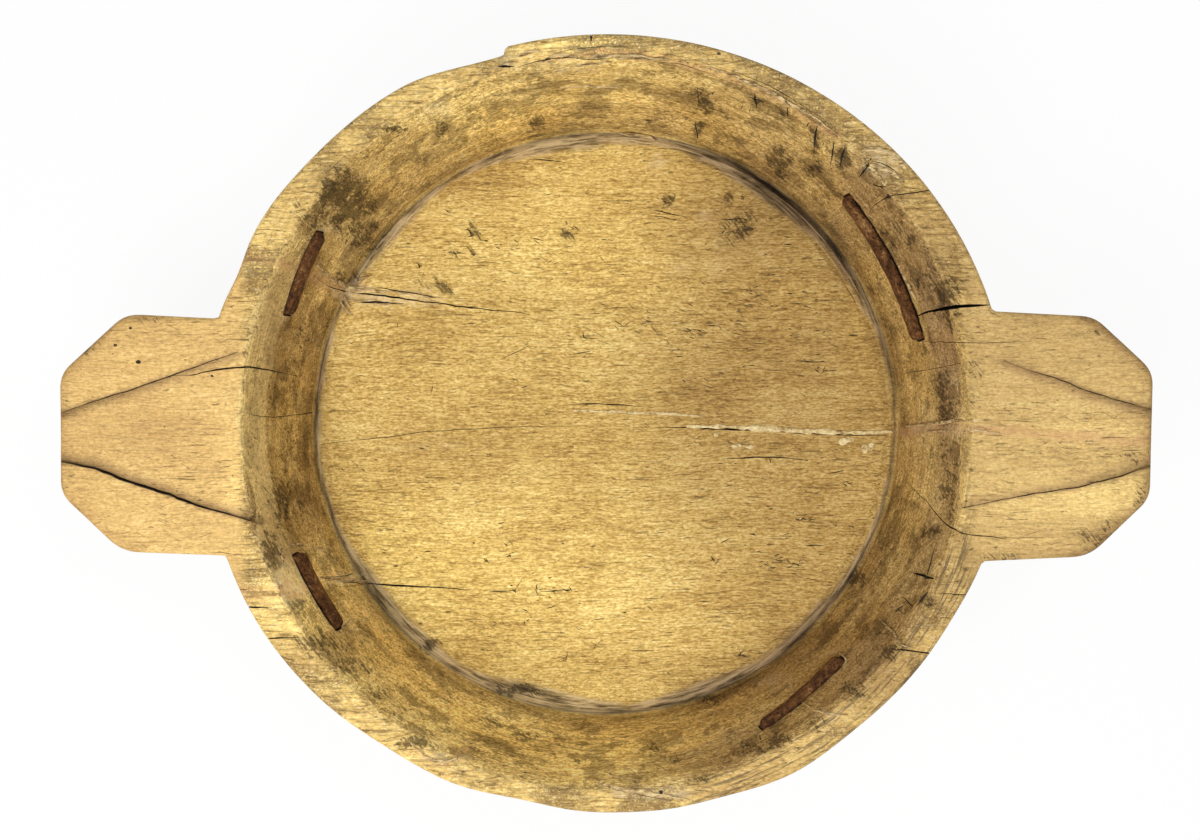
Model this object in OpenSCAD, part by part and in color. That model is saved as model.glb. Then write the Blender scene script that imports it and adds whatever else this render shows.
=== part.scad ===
// Carved wooden dough bowl with two lugs, mended with forged iron staples.
// Millimetres. +Z is up, X runs along the grain and through both lugs.
// The origin is the middle of the base, on the surface that the bowl stands on.

/* [Bowl] */
// Length over both lugs
overall_length = 640; // [590:1:700]
// Height from the base to the rim
height = 108; // [96:1:130]
// Width of the rim across the grain, where the timber has shrunk more, to its edge before wear
rim_width = 458; // [448:1:490]
// How much longer the rim is along the grain
rim_stretch = 16; // [4:1:30]
// How far the outer wall leans out between the base and the rim
outer_lean = 32; // [20:1:40]
// How far the outer wall swells past a straight slope
belly = 5; // [0:0.5:8]
// Radius of that swell
belly_radius = 160; // [80:1:240]
// Radius where the outer wall turns under to the base
base_edge_radius = 12; // [4:1:20]
// Radius of the worn edges of the rim
rim_edge_radius = 4; // [1:0.5:6]

/* [Hollow] */
// Width of the rim's top across the grain, where it is narrowest
rim_band = 15.5; // [10:0.5:24]
// How far the wall of the hollow leans out between the floor and the rim
wall_run = 29.5; // [20:0.5:45]
// Thickness of the wood under the floor
floor_thickness = 24; // [18:1:32]
// Radius where the wall meets the floor
cove_radius = 7; // [3:0.5:12]
// Depth of the gouged moat round the floor
moat_depth = 2; // [0.5:0.5:4]
// Width of the slope that falls into the moat
moat_width = 14; // [10:1:24]

/* [Lugs] */
// Width of a lug across the grain
lug_width = 144; // [110:1:170]
// How far the lugs sit to one side of the bowl's middle
lug_shift = -7; // [-12:1:12]
// Length of a lug's cut corner along the grain
lug_corner_length = 43; // [20:1:55]
// Length of a lug's cut corner across the grain
lug_corner_width = 40; // [20:1:50]
// Radius of a lug's corners in plan
lug_corner_radius = 15; // [4:1:24]
// Thickness of a lug where it leaves the bowl
lug_root_thickness = 42; // [32:1:56]
// Thickness of a lug at its tip
lug_tip_thickness = 28; // [20:1:32]
// Radius of a lug's top edges
lug_top_radius = 4; // [1:0.5:6]
// Radius of a lug's lower edges
lug_under_radius = 10; // [4:1:12]

/* [Incised lines] */
// Distance between a lug's two lines at the hollow
line_root_gap = 98; // [70:1:110]
// Distance between a lug's two lines at the tip
line_tip_gap = 31; // [20:1:50]
// Depth of the upright stop cut
line_depth = 3; // [1:0.5:6]
// Width of the slice that falls to the stop cut
line_slice = 8; // [4:0.5:12]

/* [Staples] */
// Upper left, lower left, upper right, lower right: bearing of the middle, in degrees from +X
staple_bearing = [153.5, 210.3, 29, 306];
// Length of each staple along the wall
staple_length = [52, 51, 98, 65]; // [40:1:110]
// Height of the middle of each staple above the base
staple_height = [79, 72, 65.5, 78]; // [50:0.5:88]
// Turn of each staple on the wall, in degrees
staple_turn = [-11.5, 0, 7, -10.5]; // [-20:0.5:20]
// Width of the forged bar
staple_width = 9; // [6:0.5:12]
// Thickness of the forged bar
staple_thickness = 4; // [3:0.5:6]
// Depth of the bar's bed in the wall
staple_bed = 1.5; // [0.5:0.5:2.5]
// Length of a leg below the bar
staple_leg = 13; // [8:1:15]
// Thickness of a leg at its chisel point
staple_point = 1; // [0.5:0.5:2]
// Clearance all round a staple in the wood
staple_clearance = 0.2; // [0.1:0.05:0.4]

/* [Filled split] */
// Width of the long seam of filler, and of the short one
seam_width = [2.6, 1.6]; // [1:0.1:4]
// Depth of the seams in the floor
seam_depth = 6; // [3:0.5:10]
// Height of the filler above the floor
seam_proud = 0.3; // [0:0.1:0.8]
// Clearance between the filler and the wood
seam_clearance = 0.05; // [0.02:0.01:0.1]

/* [Hidden] */

$fn = 96;
arc_steps = 6;
bar_steps = 6;
past = 1;

rim_radius = rim_width / 2;
base_radius = rim_radius - outer_lean;
hollow_radius = rim_radius - rim_band;
floor_radius = hollow_radius - wall_run;
wall_rise = height - floor_thickness;
wall_lean = atan2(wall_run, wall_rise);

lug_root = hollow_radius - lug_corner_length;
lug_tip = overall_length / 2;

// Ends of the two seams, long and short, in plan. The split follows the grain and wanders a little.
// The long seam stops short of the moat.
seam_ends = [
  [floor_radius * [0.29, -0.01], [floor_radius - moat_width - past, -0.04 * floor_radius]],
  [floor_radius * [-0.11, 0.045], floor_radius * [0.31, 0.028]]
];

wood = "#c9a35f";
iron = "#5a3424";
filler = "#e2cfa2";

// Rounding of corners in plan and in section

function unit(v) = v / norm(v);
function short_way(turn) = (turn + 540) % 360 - 180;

// Points of the arc of radius r that rounds the corner b between a and c.
function rounded_corner(a, b, c, r) =
  r == 0 ? [b] :
  let (
    to_a = unit(a - b),
    to_c = unit(c - b),
    half = acos(to_a * to_c) / 2,
    centre = b + unit(to_a + to_c) * r / sin(half),
    first = b + to_a * r / tan(half) - centre,
    last = b + to_c * r / tan(half) - centre,
    from = atan2(first.y, first.x),
    turn = short_way(atan2(last.y, last.x) - from)
  )
  [for (i = [0 : arc_steps]) centre + r * [cos(from + turn * i / arc_steps), sin(from + turn * i / arc_steps)]];

// An outline with a radius at each of its corners.
function rounded_outline(corners, radii) =
  let (n = len(corners))
  [for (i = [0 : n - 1]) each rounded_corner(corners[(i + n - 1) % n], corners[i], corners[(i + 1) % n], radii[i])];

// Body of the bowl

function wall_radius(z) = floor_radius + (z - floor_thickness) * tan(wall_lean);

// Half of the outside in section, from the middle of the base to the middle of the top.
function outer_section() =
  let (swell = [(base_radius + rim_radius) / 2 + belly, height / 2])
  rounded_outline(
    [[0, 0], [base_radius, 0], swell, [rim_radius, height], [0, height]],
    [0, base_edge_radius, belly_radius, rim_edge_radius, 0]
  );

// The outside: two round halves, drawn apart along the grain, with a straight stretch between them.
module outer_body() {
  section = outer_section();
  last = len(section) - 1;
  for (side = [-1, 1])
    translate([side * rim_stretch / 2, 0, 0])
      rotate_extrude(angle = 180, start = -90 * side)
        polygon(section);
  translate([-rim_stretch / 2, 0, 0])
    rotate([90, 0, 90])
      linear_extrude(rim_stretch)
        polygon(concat(
          [for (k = [1 : last - 1]) section[k]],
          [for (k = [last - 1 : -1 : 1]) [-section[k].x, section[k].y]]
        ));
}

// The round hollow, with a moat round its floor and a worn edge at the rim.
module hollow() {
  rotate_extrude()
    polygon(rounded_outline(
      [
        [0, floor_thickness],
        [floor_radius - moat_width, floor_thickness],
        [wall_radius(floor_thickness - moat_depth), floor_thickness - moat_depth],
        [hollow_radius, height],
        [hollow_radius + 2 * rim_edge_radius, height],
        [hollow_radius + 2 * rim_edge_radius, height + past],
        [0, height + past]
      ],
      [0, 0, cove_radius, rim_edge_radius, 0, 0, 0]
    ));
}

// One lug towards +X: its plan, its side and its section, cut out of each other.
module lug() {
  half = lug_width / 2;
  shoulder = lug_tip - lug_corner_length;
  end_half = half - lug_corner_width;
  slope = (lug_root_thickness - lug_tip_thickness) / (lug_tip - hollow_radius);
  root_drop = lug_root_thickness + slope * (hollow_radius - lug_root);

  translate([0, lug_shift, 0])
    intersection() {
      linear_extrude(height + past)
        polygon(rounded_outline(
          [[lug_root, -half], [shoulder, -half], [lug_tip, -end_half],
           [lug_tip, end_half], [shoulder, half], [lug_root, half]],
          [0, lug_corner_radius, lug_corner_radius, lug_corner_radius, lug_corner_radius, 0]
        ));
      translate([0, half + past, height])
        rotate([90, 0, 0])
          linear_extrude(lug_width + 2 * past)
            polygon(rounded_outline(
              [[lug_root, 0], [lug_root, -root_drop], [lug_tip, -lug_tip_thickness], [lug_tip, 0]],
              [0, 0, lug_under_radius, lug_top_radius]
            ));
      translate([lug_root, 0, height])
        rotate([90, 0, 90])
          linear_extrude(lug_tip - lug_root + past)
            polygon(rounded_outline(
              [[-half, -root_drop], [half, -root_drop], [half, 0], [-half, 0]],
              [lug_under_radius, lug_under_radius, lug_top_radius, lug_top_radius]
            ));
    }
}

// The two lines cut on a lug: an upright stop cut on the outer side, and a slice that falls to it.
module incised_lines() {
  run = lug_tip - hollow_radius;
  veer = atan2((line_root_gap - line_tip_gap) / 2, run);
  for (side = [-1, 1])
    translate([lug_tip, lug_shift + side * line_tip_gap / 2, height])
      mirror([0, side < 0 ? 1 : 0, 0])
        rotate([0, 0, -veer])
          translate([past, 0, 0])
            rotate([90, 0, -90])
              linear_extrude(run / cos(veer) + 2 * past)
                polygon([[0, -line_depth], [-line_slice, 0], [-line_slice, past], [0, past]]);
}

// Staples

// The side of a staple as a strip: x along the wall, y towards the middle of the bowl, 0 on the wall.
// The strip keeps to the round of the wall, and its legs are parallel, as they were driven.
module staple_side(i, gap) {
  bend = wall_radius(staple_height[i]) / cos(wall_lean);
  front = staple_thickness - staple_bed + gap;
  back = -staple_bed - gap;
  outside = staple_length[i] / 2 + gap;
  inside = staple_length[i] / 2 - staple_thickness - gap;
  swing = asin(inside / bend);
  end_rise = bend * (1 - cos(swing));
  tip = end_rise + back - staple_leg;
  point = staple_point + 2 * gap;
  elbow = staple_thickness * 0.8;

  // A point at a share of the swing, a height above the wall.
  function on_wall(share, rise) =
    [(bend - rise) * sin(swing * share), bend - (bend - rise) * cos(swing * share)];

  front_arc = [for (k = [-bar_steps : bar_steps]) on_wall(k / bar_steps, front)];
  back_arc = [for (k = [bar_steps : -1 : -bar_steps]) on_wall(k / bar_steps, back)];
  // The leg at the +x end, from its elbow to its point.
  leg = concat(
    rounded_corner(front_arc[2 * bar_steps], [outside, end_rise + front], [outside, tip], elbow),
    [[outside, tip], [outside - point, tip]]
  );
  other_leg = [for (k = [len(leg) - 1 : -1 : 0]) [-leg[k].x, leg[k].y]];
  polygon(concat(front_arc, leg, back_arc, other_leg));
}

// Staple i where it lies on the wall, with a gap all round for its bed.
module staple(i, gap = 0) {
  z = staple_height[i];
  rotate([0, 0, staple_bearing[i]])
    translate([wall_radius(z), 0, z])
      rotate([0, wall_lean, 0])
        rotate([staple_turn[i], 0, 0])
          translate([0, 0, -staple_width / 2 - gap])
            linear_extrude(staple_width + 2 * gap)
              rotate(90)
                staple_side(i, gap);
}

// Filler

// Seam i in plan: widest in the middle, with blunt ends.
module seam_plan(i, gap) {
  first = seam_ends[i][0];
  last = seam_ends[i][1];
  across = unit([first.y - last.y, last.x - first.x]) * (seam_width[i] / 2 + gap);
  along = unit(last - first) * gap;
  middle = (first + last) / 2;
  blunt = 0.35;
  polygon([
    first - along - across * blunt, middle - across, last + along - across * blunt,
    last + along + across * blunt, middle + across, first - along + across * blunt
  ]);
}

// Both seams, from their depth in the floor to a top, with a gap all round for their beds.
module seams(top, gap = 0) {
  for (i = [0, 1])
    translate([0, 0, floor_thickness - seam_depth - gap])
      linear_extrude(seam_depth + top + gap)
        seam_plan(i, gap);
}

// Nodes

module bowl() {
  color(wood)
    difference() {
      union() {
        outer_body();
        for (side = [0, 1])
          mirror([side, 0, 0])
            lug();
      }
      hollow();
      for (side = [0, 1])
        mirror([side, 0, 0])
          incised_lines();
      for (i = [0 : 3])
        staple(i, staple_clearance);
      seams(past, seam_clearance);
    }
}

module forged_staple(i) {
  color(iron)
    staple(i);
}

module crack_filler() {
  color(filler)
    seams(seam_proud);
}

bowl();
forged_staple(0);  // staple_upper_left
forged_staple(1);  // staple_lower_left
forged_staple(2);  // staple_upper_right
forged_staple(3);  // staple_lower_right
crack_filler();
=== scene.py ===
# Carved wooden dough bowl with forged staples and a filled split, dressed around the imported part.
import math

import bmesh
import bpy
import numpy as np
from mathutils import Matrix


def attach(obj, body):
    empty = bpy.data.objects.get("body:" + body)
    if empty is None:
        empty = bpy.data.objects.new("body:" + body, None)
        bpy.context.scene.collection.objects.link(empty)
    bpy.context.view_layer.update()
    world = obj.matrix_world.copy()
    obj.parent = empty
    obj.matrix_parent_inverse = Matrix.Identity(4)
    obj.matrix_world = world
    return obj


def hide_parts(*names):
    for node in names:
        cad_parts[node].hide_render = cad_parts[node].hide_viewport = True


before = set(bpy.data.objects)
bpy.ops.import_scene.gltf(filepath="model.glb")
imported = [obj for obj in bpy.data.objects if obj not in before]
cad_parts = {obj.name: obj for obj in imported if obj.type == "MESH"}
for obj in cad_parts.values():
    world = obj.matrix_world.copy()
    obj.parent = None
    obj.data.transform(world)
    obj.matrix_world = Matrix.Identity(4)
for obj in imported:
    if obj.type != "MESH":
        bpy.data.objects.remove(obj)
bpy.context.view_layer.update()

# Sizes in millimetres, as in the solids

MM = 0.001
RIM_TOP = 108.0
FLOOR_TOP = 24.0
HOLLOW_RADIUS = 213.5
FLOOR_RADIUS = 184.0
WALL_RUN = HOLLOW_RADIUS - FLOOR_RADIUS
WALL_RISE = RIM_TOP - FLOOR_TOP
WALL_LEAN = math.atan2(WALL_RUN, WALL_RISE)
RIM_HALF_LENGTH = 235.8
RIM_HALF_WIDTH = 227.6
RIM_TURN = 3.0
OUTER_LEAN = 32.0
OUTER_SWELL = 1.48
BASE_EDGE = 12.0
LUG_ROOT_DEPTH = 42.0
LUG_TIP_DEPTH = 28.0
LUG_TIP = 319.6
EDGE_WEAR = 3.5
FRAY_REACH = 14.0
CLEAR_OF_FLOOR = 0.02

# The photograph: straight down, this many millimetres to a pixel at the rim

PHOTO_WIDTH = 1200
PHOTO_HEIGHT = 840
PIXEL = 0.5823
EYE_HEIGHT = 1000.0
EYE = np.array([-3.5, 2.0, RIM_TOP + EYE_HEIGHT])

# Mesh density of the bowl

COLUMNS = 560
FLOOR_RINGS = 15
FRAY_RINGS = 10
WALL_RINGS = 32
TOP_RINGS = 20


def smooth_step(low, high, value):
    share = np.clip((value - low) / (high - low), 0.0, 1.0)
    return share * share * (3.0 - 2.0 * share)


def lattice(cell, seed):
    """A fixed random value from -1 to 1 for each whole-numbered cell."""
    mix = cell[..., 0] * 374761393 + cell[..., 1] * 668265263 + cell[..., 2] * 217645177 + seed * 974711
    mix = mix & 0xFFFFFFFF
    mix = ((mix ^ (mix >> 13)) * 1274126177) & 0xFFFFFFFF
    return ((mix ^ (mix >> 16)) & 0xFFFF) / 32767.5 - 1.0


def smooth_noise(points, size, seed):
    """Noise from -1 to 1 at each point, with features of a size in millimetres, or of one per axis."""
    place = points / np.asarray(size, float)
    cell = np.floor(place).astype(np.int64)
    part = place - cell
    blend = part * part * (3.0 - 2.0 * part)
    total = np.zeros(points.shape[:-1])
    for corner in range(8):
        step = np.array([corner & 1, corner >> 1 & 1, corner >> 2 & 1])
        weight = np.prod(np.where(step, blend, 1.0 - blend), axis=-1)
        total += weight * lattice(cell + step, seed)
    return total


def to_photo(points):
    """Pixels of the photograph at which points are seen."""
    depth = (EYE[2] - points[..., 2]) / EYE_HEIGHT
    across = PHOTO_WIDTH / 2 + (points[..., 0] - EYE[0]) / depth / PIXEL
    down = PHOTO_HEIGHT / 2 - (points[..., 1] - EYE[1]) / depth / PIXEL
    return np.stack([across, down], axis=-1)


def on_bowl(pixels):
    """Points of the bowl's upper side that lie under pixels of the photograph, and the surface's normals."""
    pixels = np.asarray(pixels, float)
    ray = np.stack([pixels[:, 0] - PHOTO_WIDTH / 2, PHOTO_HEIGHT / 2 - pixels[:, 1]], axis=-1) * PIXEL
    low = np.zeros(len(pixels))
    high = np.full(len(pixels), WALL_RISE)
    for _ in range(40):
        middle = (low + high) / 2
        plan = EYE[:2] + ray * (1.0 + middle / EYE_HEIGHT)[:, None]
        above = np.hypot(plan[:, 0], plan[:, 1]) < HOLLOW_RADIUS - middle * math.tan(WALL_LEAN)
        low = np.where(above, middle, low)
        high = np.where(above, high, middle)
    depth = np.where(high > WALL_RISE - 0.01, WALL_RISE, np.where(low < 0.01, 0.0, middle))
    plan = EYE[:2] + ray * (1.0 + depth / EYE_HEIGHT)[:, None]
    points = np.column_stack([plan, RIM_TOP - depth])
    on_wall = (depth > 0.0) & (depth < WALL_RISE)
    outward = plan / np.maximum(np.hypot(plan[:, 0], plan[:, 1]), 1.0)[:, None]
    steep = np.column_stack([-outward * math.cos(WALL_LEAN), np.full(len(plan), math.sin(WALL_LEAN))])
    normals = np.where(on_wall[:, None], steep, np.array([0.0, 0.0, 1.0]))
    return points, normals


# Plan of the bowl

# Bumps and flats of the worn outline: bearing and half width in degrees, and height
OUTLINE_BUMPS = [
    (124, 8, 0.8), (148, 6, 0.9), (158, 4, -2.0), (210, 8, 0.8), (236, 8, -1.8),
    (257, 7, -2.8), (280, 5, 0.8), (298, 8, 2.9), (330, 6, -1.0),
]
# A piece broken off the rim: bearings from its shallow end to its steep end, and depth
BROKEN_RIM = (121.0, 107.5, 105.2, 4.6)
# Corners of each hand-cut lug, from one root round to the other
LEFT_LUG = [(-190, -78.5), (-283, -75), (-318.5, -41.5), (-319, 29), (-281, 64), (-190, 59.5)]
RIGHT_LUG = [(190, -82), (282.5, -77.8), (317.8, -44), (319.8, 30.5), (285.5, 62.5), (190, 67.5)]
LUG_CORNERS = [0, 26, 18, 18, 20, 0]


def degrees_off(bearing, middle):
    """How far a bearing in radians is from a middle one in degrees, from -180 to 180 degrees."""
    return (np.degrees(bearing) - middle + 180.0) % 360.0 - 180.0


def rounded_outline(corners, radii, steps=8):
    """An open outline with a radius at each of its inner corners."""
    corners = np.asarray(corners, float)
    path = [corners[0]]
    for before, corner, after, radius in zip(corners, corners[1:], corners[2:], radii[1:]):
        to_before = (before - corner) / np.linalg.norm(before - corner)
        to_after = (after - corner) / np.linalg.norm(after - corner)
        half = math.acos(float(to_before @ to_after)) / 2
        start = corner + to_before * radius / math.tan(half)
        end = corner + to_after * radius / math.tan(half)
        for share in np.linspace(0.0, 1.0, steps):
            path.append((1 - share) ** 2 * start + 2 * share * (1 - share) * corner + share ** 2 * end)
    path.append(corners[-1])
    return np.array(path)


def bowl_reach(bearing, broken=1.0):
    """Radius of the bowl's own rim at a bearing in radians, without the lugs, more or less broken."""
    turned = bearing - math.radians(RIM_TURN)
    reach = RIM_HALF_LENGTH * RIM_HALF_WIDTH / np.hypot(
        RIM_HALF_WIDTH * np.cos(turned), RIM_HALF_LENGTH * np.sin(turned))
    for middle, width, height in OUTLINE_BUMPS:
        reach = reach + height * np.exp(-(degrees_off(bearing, middle) / width) ** 2)
    shallow, full, steep, depth = BROKEN_RIM
    turn = np.degrees(bearing) % 360.0
    gap = depth * smooth_step(shallow, full, turn) * smooth_step(steep - 0.3, steep + 0.4, turn)
    return reach - gap * broken


def lug_reach(bearing, corners):
    """Radius of one lug's outline at a bearing, or 0 beside it."""
    path = rounded_outline(corners, LUG_CORNERS)
    fine = np.concatenate([np.linspace(a, b, 24, endpoint=False) for a, b in zip(path, path[1:])])
    middle = math.atan2(corners[2][1] + corners[3][1], corners[2][0] + corners[3][0])
    turn = (np.arctan2(fine[:, 1], fine[:, 0]) - middle + math.pi) % (2 * math.pi) - math.pi
    order = np.argsort(turn)
    here = (bearing - middle + math.pi) % (2 * math.pi) - math.pi
    return np.interp(here, turn[order], np.hypot(fine[:, 0], fine[:, 1])[order], left=0.0, right=0.0)


def plan_columns():
    """Bearings evenly spaced along the outline, the outline there, and its outward normals."""
    bearing = np.linspace(0.0, 2 * math.pi, 7200, endpoint=False)
    lugs = np.maximum(lug_reach(bearing, LEFT_LUG), lug_reach(bearing, RIGHT_LUG))
    reach = np.maximum(bowl_reach(bearing), lugs)
    for _ in range(6):
        reach = (np.roll(reach, 1) + 2 * reach + np.roll(reach, -1)) / 4
    edge = np.stack([reach * np.cos(bearing), reach * np.sin(bearing)], axis=-1)
    length = np.concatenate([[0.0], np.cumsum(np.linalg.norm(np.roll(edge, -1, 0) - edge, axis=1))])
    around = np.linspace(0.0, length[-1], COLUMNS, endpoint=False)
    bearing = np.interp(around, length, np.append(bearing, 2 * math.pi))
    x = np.interp(around, length, np.append(edge[:, 0], edge[0, 0]))
    y = np.interp(around, length, np.append(edge[:, 1], edge[0, 1]))
    along = np.stack([np.roll(x, -1) - np.roll(x, 1), np.roll(y, -1) - np.roll(y, 1)], axis=-1)
    along /= np.linalg.norm(along, axis=1)[:, None]
    normal = np.stack([along[:, 1], -along[:, 0]], axis=-1)
    return bearing, np.stack([x, y], axis=-1), normal


# Carving of the bowl

# How wide the floor's edge is frayed: bearing and half width of each arc in degrees, and millimetres
FRAYED = [
    (55, 26, 10.5), (33, 14, 7.0), (98, 20, 9.5), (140, 18, 6.0), (178, 22, 3.5), (222, 22, 9.5),
    (257, 20, 11.0), (288, 18, 9.0), (318, 20, 7.0), (0, 22, 0.8),
]


def inner_wear(bearing):
    """How far the rim's inner edge is worn round at each bearing, least beside the lugs."""
    places = np.stack([200 * np.cos(bearing), 200 * np.sin(bearing), 0 * bearing], axis=-1)
    away_from_lugs = 1 - smooth_step(0.78, 0.97, np.abs(np.cos(bearing)))
    slow = 5.0 + 2.0 * smooth_noise(places, 45, 8)
    return 2.6 + away_from_lugs * slow + 0.5 * smooth_noise(places, 12, 9)


def arc_strength(bearing, arcs):
    """The strongest of some soft arcs at a bearing in radians: middle and half width in degrees, strength."""
    soft = [high * np.exp(-(degrees_off(bearing, middle) / half) ** 2) for middle, half, high in arcs]
    return np.max(soft, axis=0)


def chisel_tiles(bearing, height):
    """Steps left by a broad chisel on the wall, deepest on the right."""
    column = np.floor(np.degrees(bearing) / 6.5)
    flat = np.zeros_like(column)
    shift = 8.0 * lattice(np.stack([column, flat, flat], axis=-1).astype(np.int64), 16)
    cell = np.stack([column, np.floor((height + shift) / 21.0), flat], axis=-1).astype(np.int64)
    return lattice(cell, 17) * (0.15 + 0.3 * smooth_step(0.2, 0.9, np.cos(bearing)))


def hollow_rings(bearing):
    """Rings of the hollow from the middle of the floor to the inner edge of the rim."""
    rings = []
    cos, sin = np.cos(bearing), np.sin(bearing)
    wear = inner_wear(bearing)

    def ring(radius, height):
        rings.append(np.stack([radius * cos, radius * sin, height + 0 * cos], axis=-1))

    floor_edge = FLOOR_RADIUS - FRAY_REACH
    for share in np.linspace(0.0, 1.0, FLOOR_RINGS):
        ring(floor_edge * share, FLOOR_TOP)
    edge_points = np.stack([160 * cos, 160 * sin, 0 * cos], axis=-1)
    wander = 1.2 * smooth_noise(edge_points, 28, 3) + 0.6 * smooth_noise(edge_points, 9, 4)
    foot_wander = 1.2 * smooth_noise(edge_points, 60, 5) + 0.5 * smooth_noise(edge_points, 14, 6)
    dip = 1.2 + 0.9 * smooth_noise(edge_points, 35, 7)
    frayed = 0.15 + 0.85 * np.clip(arc_strength(bearing, FRAYED) / 8.0, 0.0, 1.0)
    for step in range(1, FRAY_RINGS + 1):
        fibre = 0.8 * frayed * smooth_noise(edge_points + np.array([0, 0, 9.0 * step]), (24, 24, 5), 15)
        drop = 1.7 * smooth_step(0.3, 0.95, step / FRAY_RINGS)
        drift = wander * math.sin(math.pi * step / (FRAY_RINGS + 1))
        ring(floor_edge + 1.02 * step + drift, FLOOR_TOP - drop + fibre * min(1.0, step / 3))
    ring(FLOOR_RADIUS - 2.2 + foot_wander, FLOOR_TOP - 1.9 - 0.6 * dip)
    ring(FLOOR_RADIUS - 0.8 + foot_wander, FLOOR_TOP - 2.2 - 0.8 * dip)
    ring(FLOOR_RADIUS + 0.2 + foot_wander, FLOOR_TOP - 1.4)
    ring(FLOOR_RADIUS + 1.0 + 0.8 * foot_wander, FLOOR_TOP + 0.8)
    for step in np.linspace(0.04, 1.0, WALL_RINGS):
        share = step * (1.0 - wear / WALL_RISE)
        height = FLOOR_TOP + WALL_RISE * share
        at = np.stack([200 * cos, 200 * sin, height], axis=-1)
        carve = 0.5 * smooth_noise(at, (34, 34, 60), 11) + 0.35 * smooth_noise(at, (70, 70, 24), 12)
        carve += 0.22 * smooth_noise(at, (7, 7, 22), 13) + chisel_tiles(bearing, height)
        ledge = 0.7 * smooth_step(0.52, 0.60, share + 0.05 * smooth_noise(at, 40, 14))
        radius = FLOOR_RADIUS + WALL_RUN * share + 1.2 * np.sin(math.pi * share) + carve - ledge
        ring(radius + foot_wander * 0.7 * (1 - share) ** 3, height)
    brink = np.hypot(rings[-1][:, 0], rings[-1][:, 1])
    for turn in np.radians([16, 32, 48, 64, 80]):
        ring(brink + wear * (1.1 - math.cos(turn)), RIM_TOP - 0.4 - wear * (1 - math.sin(turn)))
    return rings


def top_height(points):
    """Worn height of the rim and lugs."""
    wear = 0.9 + 0.45 * smooth_noise(points, (90, 30, 50), 21) + 0.25 * smooth_noise(points, (30, 9, 50), 22)
    return RIM_TOP - np.clip(wear, 0.05, 2.0)


def top_rings(inner, edge, normal):
    """Rings over the rim and the lugs, from the hollow to the worn outer edge."""
    rings = []
    inset = edge - normal * EDGE_WEAR

    def ring(plan, drop):
        points = np.column_stack([plan, np.full(len(plan), RIM_TOP)])
        points[:, 2] = top_height(points) - drop
        rings.append(points)

    for share in np.linspace(0.06, 1.0, TOP_RINGS):
        ring(inner[:, :2] * (1 - share) + inset * share, 0.0)
    for turn in np.radians([22, 45, 67, 88]):
        ring(inset + normal * EDGE_WEAR * math.sin(turn), EDGE_WEAR * (1 - math.cos(turn)))
    return rings


def outer_inset(height):
    """How far the outer wall stands in from the rim at a height."""
    return OUTER_LEAN * (1.0 - height / RIM_TOP) ** OUTER_SWELL


def outer_rings(bearing, edge):
    """Rings down the outside: the sides and undersides of the lugs, the wall and the base."""
    rings = []
    own = bowl_reach(bearing)
    whole = bowl_reach(bearing, 0.0)
    reach = np.hypot(edge[:, 0], edge[:, 1])
    on_lug = reach > own + 0.8
    lug_bearing = bearing[on_lug]
    beside = np.array([np.min(np.abs(degrees_off(lug_bearing, math.degrees(b)))) for b in bearing])
    direction = np.stack([np.cos(bearing), np.sin(bearing)], axis=-1)
    out_share = np.clip((np.abs(edge[:, 0]) - HOLLOW_RADIUS) / (LUG_TIP - HOLLOW_RADIUS), 0.0, 1.0)
    thickness = LUG_ROOT_DEPTH + (LUG_TIP_DEPTH - LUG_ROOT_DEPTH) * out_share
    low = np.where(on_lug, RIM_TOP - thickness, RIM_TOP - LUG_ROOT_DEPTH)
    joint = RIM_TOP - LUG_ROOT_DEPTH - 2.0 - 18.0 * smooth_step(0.0, 16.0, beside)
    start = RIM_TOP - EDGE_WEAR

    def wall(height):
        at = np.column_stack([direction * 220.0, height + 0 * bearing])
        adze = 0.8 * smooth_noise(at, (42, 42, 30), 31) + 0.6 * smooth_noise(at, (15, 15, 40), 32)
        adze += 1.5 * chisel_tiles(bearing + 0.05 * np.sin(7 * bearing), height)
        lower = smooth_step(0.0, 20.0, start - height)
        radius = own + (whole - own) * lower - outer_inset(height) - 1.1 + adze * lower
        return np.column_stack([direction * radius[:, None], height + 0 * bearing])

    def lug_side(height):
        tuck = 3.0 * smooth_step(0.3, 1.0, (start - height) / (start - low)) ** 2
        tuck = tuck + 0.5 + 0.5 * smooth_noise(np.column_stack([edge, height]), (30, 30, 12), 33)
        return np.column_stack([edge * (1.0 - tuck / reach)[:, None], height])

    for share in np.linspace(0.15, 1.0, 7):
        height = start + (low - start) * share
        rings.append(np.where(on_lug[:, None], lug_side(height), wall(height)))
    under = rings[-1]
    root = wall(joint)
    for share in np.linspace(0.15, 1.0, 7):
        height = low + (joint - low) * share
        rings.append(np.where(on_lug[:, None], under * (1 - share) + root * share, wall(height)))
    for share in np.linspace(0.1, 1.0, 10):
        rings.append(wall(joint + (BASE_EDGE - joint) * share))
    last = np.hypot(rings[-1][:, 0], rings[-1][:, 1])
    for turn in np.radians([25, 50, 72, 90]):
        radius = last - BASE_EDGE * (1 - math.cos(turn)) * 0.9
        height = BASE_EDGE * (1 - math.sin(turn)) + CLEAR_OF_FLOOR
        rings.append(np.column_stack([direction * radius[:, None], np.full(len(bearing), height)]))
    foot = np.hypot(rings[-1][:, 0], rings[-1][:, 1])
    for share in (0.94, 0.8, 0.6, 0.35, 0.12, 0.0):
        flat = direction * (foot * share)[:, None]
        rings.append(np.column_stack([flat, np.full(len(bearing), CLEAR_OF_FLOOR)]))
    return rings


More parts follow.
